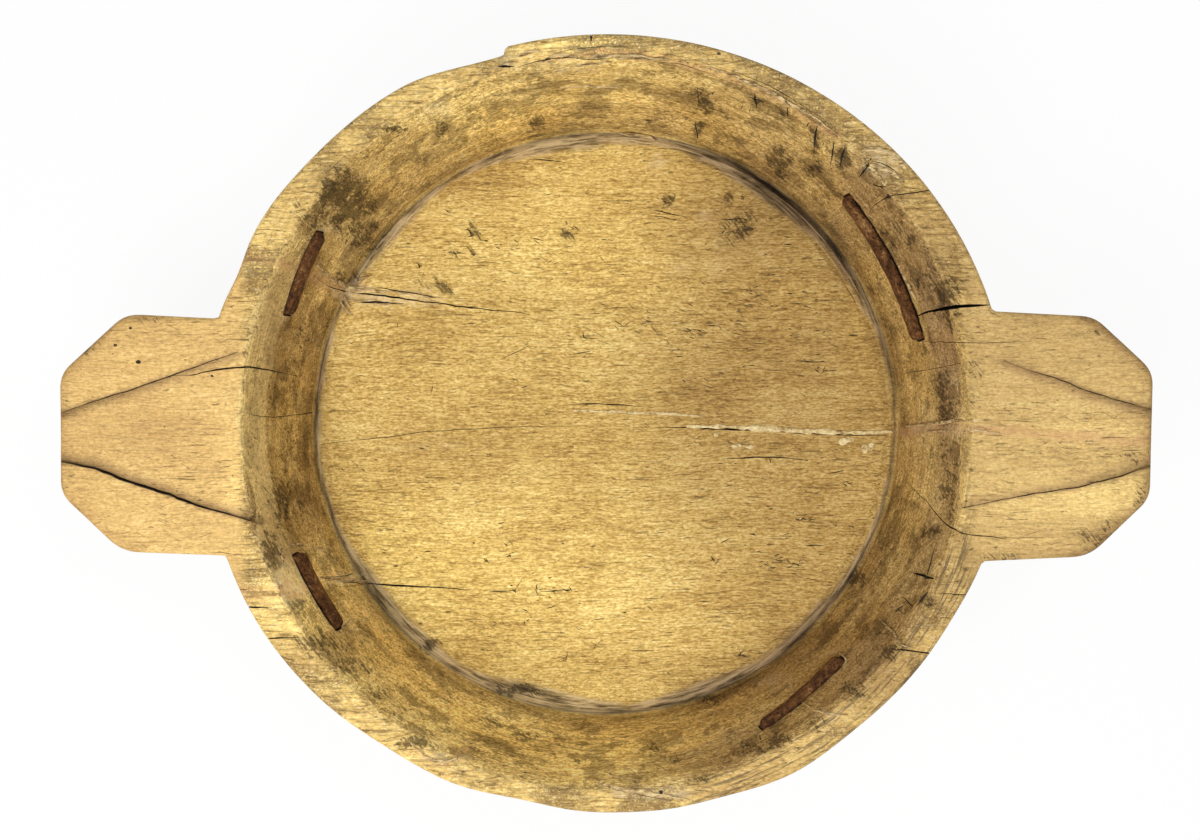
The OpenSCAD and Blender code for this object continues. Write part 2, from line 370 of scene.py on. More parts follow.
def bowl_shape():
    """All rings of the bowl, from the middle of the floor over the rim to the middle of the base."""
    bearing, edge, normal = plan_columns()
    rings = hollow_rings(bearing)
    hollow_count = len(rings)
    rings += top_rings(rings[-1], edge, normal)
    rings += outer_rings(bearing, edge)
    shape = np.array(rings)
    on_floor = shape[:, :, 2] < FLOOR_TOP + 0.5
    on_floor &= np.hypot(shape[:, :, 0], shape[:, :, 1]) < FLOOR_RADIUS - 4
    on_floor[hollow_count:] = False
    waver = 0.35 * smooth_noise(shape, (120, 40, 50), 41) + 0.2 * smooth_noise(shape, (40, 14, 50), 42)
    shape[:, :, 2] += np.where(on_floor, waver - 0.2, 0.0)
    return shape


def carve_bowl():
    """The bowl as one closed block: a sheet with a row for each ring, rolled up and closed."""
    shape = bowl_shape()
    count = len(shape)
    bpy.ops.mesh.primitive_grid_add(x_subdivisions=COLUMNS, y_subdivisions=count - 1, size=1.0)
    piece = bpy.context.object
    piece.name = "carved_bowl"
    mesh = piece.data
    sheet = np.empty(len(mesh.vertices) * 3)
    mesh.vertices.foreach_get("co", sheet)
    sheet = sheet.reshape(-1, 3) + 0.5
    column = -np.rint(sheet[:, 0] * COLUMNS).astype(int) % COLUMNS
    ring = np.rint(sheet[:, 1] * (count - 1)).astype(int)
    mesh.vertices.foreach_set("co", (shape[ring, column] * MM).ravel())
    mesh.update()
    bpy.ops.object.mode_set(mode="EDIT")
    bpy.ops.mesh.select_all(action="SELECT")
    bpy.ops.mesh.remove_doubles(threshold=1e-6)
    bpy.ops.mesh.normals_make_consistent(inside=False)
    bpy.ops.object.mode_set(mode="OBJECT")
    return piece


# Cuts: incised lines, open splits, chips and beetle holes

# Splits as the photograph shows them: pixels along each, width and depth in millimetres
SPLITS = [
    ([(993, 305), (978, 305), (962, 306), (930, 311), (915, 317)], 1.9, 12.0),
    ([(940, 188), (928, 190), (904, 194), (887, 197), (871, 208)], 0.8, 5.0),
    ([(899, 468), (908, 485), (925, 501), (941, 520), (961, 534), (1001, 538), (1045, 538)], 0.7, 4.0),
    ([(932, 593), (967, 595), (985, 596)], 0.6, 4.0),
    ([(890, 648), (896, 649), (932, 654), (948, 656)], 1.1, 6.0),
    ([(912, 572), (934, 579)], 1.5, 3.0),
    ([(899, 374), (934, 369), (960, 363)], 0.5, 3.0),
    ([(896, 343), (923, 342), (988, 343), (1040, 341)], 0.5, 3.0),
    ([(166, 376), (193, 375), (212, 370), (231, 368), (250, 367), (270, 370), (298, 376)], 0.9, 4.0),
    ([(239, 411), (260, 417), (279, 417), (317, 412), (340, 412)], 0.5, 3.0),
    ([(308, 445), (321, 444), (340, 442)], 0.5, 2.0),
    ([(205, 552), (218, 553), (239, 555), (258, 555)], 0.5, 4.0),
    ([(232, 590), (247, 590)], 0.8, 4.0),
    ([(234, 607), (247, 607), (268, 608)], 1.3, 8.0),
    ([(256, 630), (264, 631), (284, 632)], 0.5, 4.0),
    ([(252, 640), (267, 639), (298, 637)], 0.9, 6.0),
    ([(325, 579), (352, 582), (382, 585), (429, 587), (470, 590)], 0.9, 3.5),
    ([(490, 591), (512, 592)], 0.5, 1.5),
    ([(540, 591), (576, 590)], 0.5, 1.5),
    ([(314, 276), (331, 288), (356, 293), (377, 295), (412, 300), (473, 308), (530, 314)], 1.0, 3.5),
    ([(250, 230), (270, 229), (292, 232)], 0.4, 3.0),
    ([(320, 411), (366, 411)], 0.4, 1.5),
    ([(314, 445), (350, 441), (397, 436), (421, 432), (468, 429), (508, 427), (580, 426)], 0.5, 1.5),
    ([(722, 459), (760, 457), (790, 458), (808, 461)], 0.8, 2.0),
    ([(648, 209), (668, 213), (687, 217)], 0.8, 1.5),
    ([(651, 215), (668, 218), (680, 221)], 0.6, 1.2),
    ([(721, 219), (752, 219)], 0.7, 1.5),
    ([(610, 275), (631, 275)], 0.6, 1.2),
    ([(610, 307), (628, 308)], 0.6, 1.2),
    ([(811, 301), (843, 300)], 0.5, 1.2),
    ([(794, 361), (826, 362)], 0.6, 1.2),
    ([(805, 545), (824, 546)], 0.8, 1.2),
    ([(595, 300), (620, 284)], 0.4, 1.0),
    ([(595, 300), (609, 308)], 0.5, 1.0),
    ([(568, 404), (600, 404), (642, 406)], 0.8, 2.5),
    ([(504, 358), (530, 345)], 0.5, 1.0),
    ([(590, 201), (650, 200)], 0.4, 1.2),
    ([(530, 159), (565, 162)], 0.6, 1.5),
    ([(591, 27), (591, 41)], 1.6, 6.0),
    ([(653, 34), (661, 38)], 0.9, 3.0),
    ([(736, 72), (773, 87), (821, 117)], 0.6, 3.0),
    ([(500, 70), (517, 67), (533, 62), (549, 59), (563, 57), (577, 60), (609, 60), (619, 57)], 0.8, 3.0),
    ([(545, 55), (572, 49), (602, 46), (640, 48)], 0.5, 2.0),
    ([(486, 53), (502, 55)], 1.3, 4.0),
    ([(498, 66), (514, 66)], 1.2, 4.0),
    ([(641, 61), (680, 66), (715, 76)], 0.6, 2.5),
    ([(905, 352), (906, 372)], 0.4, 1.2),
    ([(930, 346), (928, 366), (930, 388)], 0.5, 1.5),
    ([(897, 400), (930, 398)], 0.4, 1.2),
    ([(928, 440), (934, 470), (930, 500)], 0.4, 1.2),
    ([(925, 580), (931, 567), (934, 548)], 1.1, 2.0),
    ([(893, 612), (906, 603)], 1.5, 2.0),
    ([(900, 595), (912, 606)], 1.2, 2.0),
    ([(917, 606), (928, 592)], 1.4, 2.0),
    ([(868, 640), (880, 632), (893, 632)], 0.6, 2.0),
    ([(754, 90), (757, 109)], 1.0, 0.8),
    ([(749, 97), (760, 100)], 0.7, 0.6),
    ([(786, 100), (788, 116)], 0.9, 0.8),
    ([(817, 122), (813, 158)], 1.3, 1.0),
    ([(846, 142), (839, 167)], 1.4, 1.0),
    ([(834, 142), (829, 172)], 1.0, 0.8),
    ([(714, 127), (730, 112)], 0.7, 0.6),
    ([(708, 131), (722, 118)], 0.7, 0.6),
    ([(776, 170), (796, 158)], 0.9, 0.7),
    ([(780, 156), (792, 172)], 0.9, 0.7),
    ([(462, 141), (482, 133)], 0.7, 0.6),
    ([(692, 92), (704, 104)], 0.9, 0.7),
    ([(697, 88), (700, 112)], 1.0, 0.8),
    ([(704, 97), (714, 92)], 0.8, 0.6),
    ([(694, 118), (698, 138)], 1.2, 0.8),
    ([(700, 121), (704, 131)], 0.9, 0.7),
    ([(770, 164), (800, 166)], 0.8, 0.7),
    ([(786, 152), (784, 176)], 0.8, 0.6),
    ([(326, 574), (340, 577), (352, 574), (362, 571)], 1.1, 1.5),
    ([(328, 585), (345, 586), (362, 584)], 0.9, 1.5),
    ([(868, 160), (884, 163), (903, 176)], 0.8, 2.0),
    ([(640, 120), (657, 122)], 1.3, 1.0),
    ([(600, 787), (628, 793), (660, 799), (688, 803)], 0.7, 1.2),
    # Along the upper-left side of the lower right staple: a dark line of painted shadow.
    ([(788, 690), (812, 671), (836, 654)], 0.8, 1.2),
    # Under the torn plates at the upper right: dark lines of painted shadow.
    ([(858, 178), (866, 168), (872, 158)], 1.5, 2.0),
    ([(870, 183), (880, 188), (893, 187)], 1.2, 2.0),
    ([(352, 303), (380, 302), (404, 304)], 0.7, 1.6),
    ([(372, 287), (400, 291), (432, 296)], 0.6, 1.6),
    ([(470, 147), (476, 133)], 0.5, 0.6),
]
# Small dents in the floor and wall, as bunches of short gashes: pixel, reach of the bunch and count
DENTS = [
    (471, 233, 9, 5), (454, 252, 6, 3), (473, 254, 4, 2), (418, 266, 5, 3), (567, 233, 10, 4),
    (718, 198, 7, 4), (728, 203, 6, 3), (738, 197, 6, 3), (667, 202, 6, 4), (772, 274, 5, 2),
    (757, 292, 9, 4), (742, 324, 6, 4), (792, 326, 7, 4), (796, 338, 6, 3), (826, 371, 7, 4),
    (872, 320, 2, 1), (861, 415, 7, 4), (845, 484, 6, 3), (802, 519, 4, 3), (851, 526, 3, 2),
    (822, 555, 3, 2), (796, 562, 10, 6), (778, 559, 7, 4), (770, 567, 8, 3), (717, 561, 6, 4),
    (738, 652, 14, 6), (687, 652, 7, 4), (640, 660, 3, 2), (342, 470, 2, 1), (404, 497, 3, 2),
    (384, 550, 4, 2), (508, 545, 4, 2), (512, 555, 5, 3), (485, 561, 3, 2), (513, 591, 6, 3),
    (533, 589, 6, 3), (555, 590, 5, 3), (567, 590, 5, 3), (497, 624, 5, 4), (527, 623, 4, 2),
    (579, 629, 4, 2), (563, 659, 6, 4), (599, 645, 8, 4), (601, 652, 7, 3), (573, 680, 7, 3),
    (504, 653, 6, 2), (367, 655, 5, 3), (383, 649, 7, 4), (346, 684, 5, 3), (702, 101, 10, 5),
    (697, 130, 9, 5), (782, 163, 10, 6), (690, 330, 16, 6), (650, 320, 14, 6),
]
# Where short gashes lie close together: pixel, half sizes, count and slant
FLECKED = [
    (690, 325, 55, 26, 42, .45), (765, 300, 60, 30, 22, .2), (700, 440, 60, 20, 12, 0),
    (800, 540, 60, 40, 18, 0), (660, 212, 50, 14, 14, .15), (500, 240, 70, 25, 18, .3),
    (560, 610, 100, 45, 18, 0), (610, 320, 60, 40, 16, .2), (735, 215, 45, 25, 16, -.5),
    (710, 110, 40, 18, 16, -.9), (820, 150, 35, 22, 18, -1.2), (470, 130, 60, 16, 12, -.4),
    (540, 250, 100, 30, 26, .1), (630, 310, 90, 40, 30, .4), (760, 370, 80, 50, 20, .1),
    (600, 740, 150, 26, 26, 0), (900, 560, 30, 60, 18, -.6), (280, 480, 24, 80, 16, 1.4),
    (390, 700, 60, 30, 14, .6),
]
# Loose gashes: how many, and the pixel and the radius of the round that they lie in
LOOSE_GASHES = 200
BOWL_MIDDLE = (606, 424)
BOWL_REACH = 350
# Beetle holes and small knots: pixel and radius
HOLES = [
    ((130, 328), 0.9), ((115, 345), 0.9), ((138, 362), 1.3), ((212, 376), 0.7), ((719, 53), 1.4),
    ((888, 197), 1.4), ((661, 792), 1.1),
]
# Lines cut on the lugs, from the tip to the bowl: pixels, depth at the tip and at the bowl, side of the slice
LUG_LINES = [
    ([(40, 418), (61, 413), (88, 403), (126, 391), (164, 378), (197, 366), (238, 352)], 2.6, 0.5, 1),
    ([(40, 458), (63, 462), (95, 468), (126, 481), (162, 492), (199, 506), (262, 524)], 3.4, 2.4, -1),
    ([(1180, 416), (1155, 410), (1118, 400), (1086, 390), (1060, 379), (1032, 371), (1004, 361)],
     2.8, 0.4, -1),
    ([(1180, 458), (1151, 466), (1118, 477), (1075, 488), (1032, 494), (993, 502), (962, 508)], 2.6, 0.6, 1),
]
LINE_SLICE = 11.0
# The upright cut at each of these lines: width and depth, and which of them gapes like a split
STOP_CUTS = [(0.9, 3.0), (1.9, 5.0), (0.9, 3.0), (0.9, 3.0)]
GAPING_STOP = 1
# Fine lines scribed round the rim beside the lugs, and their width and depth
SCRIBED_WIDTH = 0.7
SCRIBED_DEPTH = 0.8
SCRIBED = [
    [(250, 276), (240, 299), (229, 325)], [(245, 276), (235, 299), (224, 325)],
    [(993, 522), (989, 533), (984, 546)], [(988, 522), (984, 533), (979, 546)],
    [(975, 560), (955, 590), (930, 622), (905, 650)], [(968, 558), (948, 589), (923, 619), (900, 644)],
    [(893, 672), (852, 715), (812, 749), (753, 767)],
]
# The open part of the split floor beside the filler: pixels along it, width and depth
SEAM_SLOT = ([(655, 427), (690, 428), (758, 430), (805, 433), (852, 435.5), (888, 435)], 1.2, 6.5)
# Torn fibres that stand up from the wood: pixels along each, width and height in millimetres
SPLINTERS = [
    ([(318, 266), (333, 281), (350, 289), (372, 291)], 4.6, 1.5),
    ([(346, 300), (362, 302), (402, 305)], 4.4, 1.2), ([(330, 288), (342, 297), (350, 308)], 4.0, 1.4),
    ([(356, 284), (366, 277), (372, 275)], 2.4, 1.0),
    ([(352, 287), (376, 290), (410, 294), (440, 298)], 2.4, 0.9),
    ([(340, 301), (346, 312), (354, 317)], 3.0, 1.2), ([(334, 226), (340, 232), (343, 242)], 1.8, 0.9),
    ([(322, 577), (338, 579), (366, 582)], 3.2, 1.3), ([(277, 546), (283, 560), (285, 567)], 1.4, 0.8),
    ([(336, 630), (346, 627), (351, 620)], 1.6, 0.9), ([(290, 545), (298, 543), (306, 546)], 1.8, 0.9),
    ([(313, 547), (322, 548), (328, 553)], 1.8, 0.9),
    ([(410, 742), (424, 757), (441, 764), (456, 759), (467, 746)], 3.4, 1.6),
    ([(597, 783), (625, 789), (655, 795), (690, 800)], 3.2, 1.2),
    ([(606, 772), (618, 778), (640, 780)], 1.8, 0.9),
    ([(864, 149), (880, 151), (896, 158), (906, 170)], 7.0, 1.3),
    ([(870, 165), (886, 170), (901, 180)], 5.5, 1.2), ([(862, 165), (876, 172), (884, 186)], 2.2, 1.0),
    ([(905, 427), (930, 424), (956, 421), (990, 420)], 2.8, 1.0),
    ([(925, 432), (960, 431), (1000, 433)], 2.4, 0.9), ([(541, 62), (560, 54), (577, 57)], 2.6, 1.3),
    ([(590, 59), (625, 55), (670, 60)], 2.4, 1.1),
    ([(558, 72), (572, 66), (590, 64), (612, 62)], 3.0, 1.1),
    ([(484, 70), (500, 66), (515, 62)], 3.0, 1.4), ([(519, 57), (530, 52), (541, 52)], 3.6, 1.1),
    ([(700, 66), (735, 76), (772, 93), (806, 112), (838, 134)], 2.0, 1.0),
    ([(560, 88), (590, 86), (618, 88)], 1.6, 0.8), ([(836, 652), (846, 657), (844, 668)], 1.8, 0.9),
    ([(802, 702), (814, 711), (832, 716), (848, 715)], 2.8, 1.3),
    ([(880, 620), (892, 632), (900, 645), (914, 648)], 1.8, 1.0),
    ([(915, 300), (908, 284), (898, 266)], 1.4, 0.8), ([(620, 133), (640, 134), (656, 140)], 2.6, 1.0),
]
# How far a cutting tool stands out of the wood
LIFT = 1.5


def path_on_bowl(pixels, spacing=2.5):
    """Points and normals along a line of the photograph, laid on the bowl."""
    pixels = np.asarray(pixels, float)
    length = np.concatenate([[0.0], np.cumsum(np.linalg.norm(np.diff(pixels, axis=0), axis=1))])
    count = max(4, int(length[-1] * PIXEL / spacing))
    at = np.linspace(0.0, length[-1], count)
    fine = np.column_stack([np.interp(at, length, pixels[:, 0]), np.interp(at, length, pixels[:, 1])])
    for _ in range(2):
        fine[1:-1] = (fine[:-2] + 2 * fine[1:-1] + fine[2:]) / 4
    points, normals = on_bowl(fine)
    for _ in range(2):
        normals[1:-1] = (normals[:-2] + normals[1:-1] + normals[2:]) / 3
    return points, normals / np.linalg.norm(normals, axis=1)[:, None]


def beside_path(points, normals):
    """Unit directions across a path, in the surface."""
    across = np.cross(np.gradient(points, axis=0), normals)
    return across / np.linalg.norm(across, axis=1)[:, None]


def split_sections(pixels, width, depth, seed):
    """Sections of an open split: a wedge that closes at both ends."""
    points, normals = path_on_bowl(pixels)
    across = beside_path(points, normals)
    points = points + across * (0.4 * smooth_noise(points, 5, seed))[:, None]
    share = np.linspace(0.0, 1.0, len(points))
    swell = 0.25 + 0.75 * smooth_step(0.0, 0.3, share) * (1 - 0.75 * smooth_step(0.6, 1.0, share))
    half = width / 2 * swell * (1 + 0.35 * smooth_noise(points, 4, seed + 1))
    deep = depth * (0.35 + 0.65 * swell)
    flare = (half * (deep + LIFT) / deep)[:, None]
    top = points + normals * LIFT
    return np.stack([top + across * flare, top - across * flare, points - normals * deep[:, None]], axis=1)


def line_sections(pixels, tip_depth, bowl_depth, side):
    """Sections of a line cut on a lug: an upright cut, and a slice that falls to it from the middle."""
    points, normals = path_on_bowl(pixels)
    across = beside_path(points, normals) * side
    share = np.linspace(0.0, 1.0, len(points))
    deep = (tip_depth + (bowl_depth - tip_depth) * share ** 1.3)[:, None]
    reach = LINE_SLICE * (0.35 + 0.65 * deep / tip_depth)
    up = normals * LIFT
    lean = across * -0.25
    return np.stack([points + up + lean, points - normals * deep, points + across * reach,
                     points + across * reach + up], axis=1)


def hole_sections(pixel, radius, seed):
    """Sections of a round hole that narrows downwards."""
    points, normals = on_bowl([pixel])
    turn = np.linspace(0.0, 2 * math.pi, 9, endpoint=False)
    round_one = np.column_stack([np.cos(turn) * 1.25, np.sin(turn), 0 * turn]) * radius
    round_one *= (1 + 0.2 * smooth_noise(round_one, radius, seed))[:, None]
    depths = [(LIFT, 1.25), (-0.5, 1.0), (-1.2, 0.75), (-1.6, 0.3)]
    return np.stack([points[0] + round_one * size + np.array([0, 0, height]) for height, size in depths])


def splinter_sections(pixels, width, height, seed):
    """Sections of one torn fibre, rooted in the wood and thin at both ends."""
    points, normals = path_on_bowl(pixels, 1.6)
    across = beside_path(points, normals)
    points = points + across * (0.7 * smooth_noise(points, 4, seed))[:, None]
    share = np.linspace(0.03, 0.97, len(points))
    swell = np.sin(math.pi * share) ** 0.6
    half = (width / 2 * swell * (1 + 0.4 * smooth_noise(points, 3, seed + 1)))[:, None] * across
    rise = (height * swell * (0.8 + 0.6 * smooth_noise(points, 2.5, seed + 2)))[:, None] * normals
    root = normals * 3.0
    sections = np.stack([points - half - root, points - half * 0.7 + rise * 0.3, points + half * 0.1 + rise,
                         points + half - root], axis=1)
    sections[..., 2] = np.minimum(sections[..., 2], RIM_TOP - 0.03)
    return sections


def gash(chance, x, y, length, slant):
    """Sections of one short shallow gash about a pixel."""
    half = np.array([math.cos(slant), math.sin(slant)]) * length / 2
    ends = [np.array([x, y]) - half, np.array([x, y]) + half]
    width = chance.uniform(0.4, 0.8)
    depth = chance.uniform(0.4, 0.9)
    return split_sections(ends, width, depth, int(chance.integers(10000)))


def gashes():
    """The dents of the floor and wall, then gashes close together, then loose ones, most along the grain."""
    chance = np.random.default_rng(11)
    tubes = []
    for x, y, reach, count in DENTS:
        for _ in range(count):
            off = chance.normal(0.0, 0.45, 2) * (reach, reach * 0.6)
            length = chance.uniform(0.3, 0.9) * reach + 2
            tubes.append(gash(chance, x + off[0], y + off[1], length, chance.normal(0.2, 0.6)))
    for x, y, half_x, half_y, count, slant in FLECKED:
        for _ in range(count):
            off = chance.normal(0.0, 0.5, 2) * (half_x, half_y)
            length = 2.5 + min(chance.exponential(3.5), 12.0)
            tubes.append(gash(chance, x + off[0], y + off[1], length, chance.normal(slant, 0.3)))
    for _ in range(LOOSE_GASHES):
        away = BOWL_REACH * math.sqrt(chance.random())
        turn = chance.uniform(0, 2 * math.pi)
        slant = chance.normal(0.0, 0.12) if chance.random() < 0.75 else chance.uniform(-1.4, 1.4)
        length = 2.5 + min(chance.exponential(4.0), 17.0)
        x = BOWL_MIDDLE[0] + away * math.cos(turn)
        y = BOWL_MIDDLE[1] + away * math.sin(turn)
        tubes.append(gash(chance, x, y, length, slant))
    return tubes


def tool_mesh(name, tubes, material):
    """A cutting tool: closed tubes, each through its own sections."""
    corners, faces = [], []
    for sections in tubes:
        start = len(corners)
        count, sides = sections.shape[:2]
        corners.extend(map(tuple, (sections * MM).reshape(-1, 3)))
        for i in range(count - 1):
            for j in range(sides):
                a, b = start + i * sides + j, start + i * sides + (j + 1) % sides
                faces.append((a, b, b + sides, a + sides))
        faces.append(tuple(range(start + sides - 1, start - 1, -1)))
        faces.append(tuple(range(start + (count - 1) * sides, start + count * sides)))
    mesh = bpy.data.meshes.new(name)
    mesh.from_pydata(corners, [], faces)
    mesh.materials.append(material)
    tool = bpy.data.objects.new(name, mesh)
    bpy.context.scene.collection.objects.link(tool)
    pick(tool)
    bpy.ops.object.mode_set(mode="EDIT")
    bpy.ops.mesh.select_all(action="SELECT")
    bpy.ops.mesh.normals_make_consistent(inside=False)
    bpy.ops.object.mode_set(mode="OBJECT")
    return tool


def pick(piece):
    """Makes a piece the only selected one, and the active one."""
    bpy.ops.object.select_all(action="DESELECT")
    piece.select_set(True)
    bpy.context.view_layer.objects.active = piece


def cut(piece, tool, way="DIFFERENCE"):
    """Takes a tool's shape out of a piece, or joins it on, and the tool out of the scene."""
    pick(piece)
    knife = piece.modifiers.new("cut", "BOOLEAN")
    knife.operation = way
    knife.solver = "MANIFOLD"
    knife.material_mode = "TRANSFER"
    knife.object = tool
    bpy.ops.object.modifier_apply(modifier=knife.name)
    bpy.data.objects.remove(tool)


def cut_bowl(piece, wood, torn, split_dark, groove_dark):
    """Cuts the lines, splits, holes and gashes, and raises the torn fibres."""
    lines = [line_sections(*line) for line in LUG_LINES]
    cut(piece, tool_mesh("line_tools", lines, wood))
    fibres = [splinter_sections(*fibre, 600 + 7 * i) for i, fibre in enumerate(SPLINTERS)]
    cut(piece, tool_mesh("fibre_tools", fibres, torn), "UNION")
    splits = [split_sections(*split, 100 + 7 * i) for i, split in enumerate(SPLITS)]
    stops = [split_sections(LUG_LINES[i][0], *stop, 400 + i) for i, stop in enumerate(STOP_CUTS)]
    splits.append(stops.pop(GAPING_STOP))
    splits.append(split_sections(*SEAM_SLOT, 450))
    cut(piece, tool_mesh("split_tools", splits, split_dark))
    stops += [split_sections(pixels, SCRIBED_WIDTH, SCRIBED_DEPTH, 300 + 7 * i)
              for i, pixels in enumerate(SCRIBED)]
    # Gaps round the staples, lined with the dark groove material: a painted shadow outline.
    beds = [staple_sections(*STAPLES[name], staple_seed(name), BED_SPARE) for name in STAPLES]
    cut(piece, tool_mesh("bed_tools", beds, groove_dark))
    holes = [hole_sections(*hole, 200 + i) for i, hole in enumerate(HOLES)]
    cut(piece, tool_mesh("gash_tools", gashes() + stops + holes, groove_dark))


# Staples

STAPLE_WIDTH = 10.5
STAPLE_THICKNESS = 5.4
STAPLE_BED = 1.5
BED_SPARE = 0.7
STAPLE_LEG = 13.0
# Bearing and turn in degrees, length and height, and how much of the width is left at each end
STAPLES = {
    "staple_upper_left": (153.7, -9.0, 55.0, 79.5, 0.95, 0.8),
    "staple_lower_left": (210.2, 1.4, 53.0, 74.0, 1.0, 0.9),
    "staple_upper_right": (29.2, 4.0, 99.5, 63.3, 1.0, 0.85),
    "staple_lower_right": (306.0, -9.0, 66.0, 76.0, 0.62, 0.95),
}


def wall_radius(height):
    return FLOOR_RADIUS + (height - FLOOR_TOP) * math.tan(WALL_LEAN)


def staple_path(length, height):
    """Middle line of a bent bar: x along the wall, y towards the middle of the bowl."""
    bend = wall_radius(height) / math.cos(WALL_LEAN)
    rise = STAPLE_THICKNESS / 2 - STAPLE_BED
    half = length / 2 - STAPLE_THICKNESS / 2
    swing = math.asin((half - 2.0) / bend)
    turns = np.linspace(-swing, swing, 31)
    bar = np.column_stack([(bend - rise) * np.sin(turns), bend - (bend - rise) * np.cos(turns)])
    end = bar[-1, 1]
    leg = np.array([[half, end - 1.6 - STAPLE_LEG * share] for share in (0.0, 0.25, 0.6, 1.0)])
    elbow = np.array([[half - 0.55, end - 0.45]])
    after = np.concatenate([elbow, leg])
    before = after[::-1] * np.array([-1, 1])
    return np.concatenate([before, bar, after]), len(after)


def staple_sections(bearing, turn, length, height, first, last, seed, spare=0.0):
    """Sections of one forged staple, in the bowl's frame, or of its bed with some spare all round."""
    path, leg_count = staple_path(length, height)
    along = np.gradient(path, axis=0)
    along /= np.linalg.norm(along, axis=1)[:, None]
    front = np.column_stack([-along[:, 1], along[:, 0]])
    share = np.linspace(0.0, 1.0, len(path))
    into = np.clip(np.minimum(np.arange(len(path)), np.arange(len(path))[::-1]) / leg_count, 0.0, 1.0)
    flat = np.column_stack([path, 0 * share + seed])
    width = STAPLE_WIDTH * (first + (last - first) * share) * (0.8 + 0.2 * into)
    width = width * (1 + 0.09 * smooth_noise(flat, 5, seed)) + 2 * spare
    thick = (STAPLE_THICKNESS - 0.4) * (0.3 + 0.7 * smooth_step(0.0, 0.7, into))
    thick = thick * (1 + 0.1 * smooth_noise(flat, 4, seed + 1)) + 2 * spare
    chamfer = 0.28
    loop = [(-1, -1 + chamfer), (-1, 1 - chamfer), (-1 + chamfer, 1), (1 - chamfer, 1),
            (1, 1 - chamfer), (1, -1 + chamfer), (1 - chamfer, -1), (-1 + chamfer, -1)]
    spin, tilt = math.radians(bearing), math.radians(turn)
    outward = np.array([math.cos(spin), math.sin(spin), 0.0])
    round_wall = np.array([-math.sin(spin), math.cos(spin), 0.0])
    up_wall = outward * math.sin(WALL_LEAN) + np.array([0, 0, math.cos(WALL_LEAN)])
    off_wall = -outward * math.cos(WALL_LEAN) + np.array([0, 0, math.sin(WALL_LEAN)])
    across = round_wall * math.cos(tilt) + up_wall * math.sin(tilt)
    upward = up_wall * math.cos(tilt) - round_wall * math.sin(tilt)
    middle = outward * wall_radius(height) + np.array([0, 0, height])
    sections = []
    for up, out in loop:
        side = path + front * (thick * out / 2)[:, None]
        point = middle + side[:, :1] * across + side[:, 1:] * off_wall + (width * up / 2)[:, None] * upward
        sections.append(point)
    return np.stack(sections, axis=1)


def draw_out(name, sections):
    """A piece drawn out section by section, as a smith draws a bar from its end."""
    sides = sections.shape[1]
    bpy.ops.object.select_all(action="DESELECT")
    bpy.ops.mesh.primitive_circle_add(vertices=sides, radius=1.0, fill_type="NGON")
    piece = bpy.context.object
    piece.name = name
    bpy.ops.object.mode_set(mode="EDIT")
    shape = bmesh.from_edit_mesh(piece.data)
    shape.verts.ensure_lookup_table()
    for corner, place in zip(shape.verts, sections[0]):
        corner.co = place * MM
    for before, after in zip(sections, sections[1:]):
        bpy.ops.mesh.extrude_region_move()
        shape = bmesh.from_edit_mesh(piece.data)
        for corner in [v for v in shape.verts if v.select]:
            nearest = np.argmin(np.linalg.norm(before * MM - np.array(corner.co), axis=1))
            corner.co = after[nearest] * MM
        bmesh.update_edit_mesh(piece.data)
    bpy.ops.mesh.select_all(action="SELECT")
    bpy.ops.mesh.normals_make_consistent(inside=False)
    bpy.ops.object.mode_set(mode="OBJECT")
    return piece


def finish_shape(piece, levels, angle):
    """Smooths a piece with subdivision, and shades it."""
    pick(piece)
    if levels:
        smooth = piece.modifiers.new("smooth", "SUBSURF")
        smooth.levels = levels
        smooth.render_levels = levels
        bpy.ops.object.modifier_apply(modifier=smooth.name)
    bpy.ops.object.shade_smooth_by_angle(angle=math.radians(angle))


def staple_seed(name):
    return 500 + 10 * list(STAPLES).index(name)


def forge_staple(name, rust):
    piece = draw_out("forged_" + name, staple_sections(*STAPLES[name], staple_seed(name)))
    finish_shape(piece, 1, 60)
    piece.data.materials.append(rust)
    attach(piece, "root")
    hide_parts(name)


# Filler in the split floor

# Points along each seam on the floor, and the width of the paste
SEAMS = [
    ([(51.2, -1.8), (96.2, -2.9), (125.9, -4.9), (155.4, -6.2), (180.5, -5.4)], 3.3),
    ([(-20.2, 8.0), (30.0, 6.0), (62.0, 4.6)], 2.0),
]
SEAM_DEPTH = 5.5
SEAM_PROUD = 0.45
# Crumbs of paste beside the seam: pixel and half sizes in pixels
CRUMBS = [
    (716, 435, 3, 2), (738, 446, 5, 2), (750, 447, 4, 2), (843, 442, 4, 4), (851, 440, 4, 3),
    (865, 449, 3, 5), (871, 447, 3, 4),
]
# Section of the paste: share of the half width, and height
PASTE_SECTION = [
    (-0.7, -SEAM_DEPTH), (-1.0, -0.4), (-0.75, 0.0), (0.0, 0.05),
    (0.75, 0.0), (1.0, -0.4), (0.7, -SEAM_DEPTH),
]


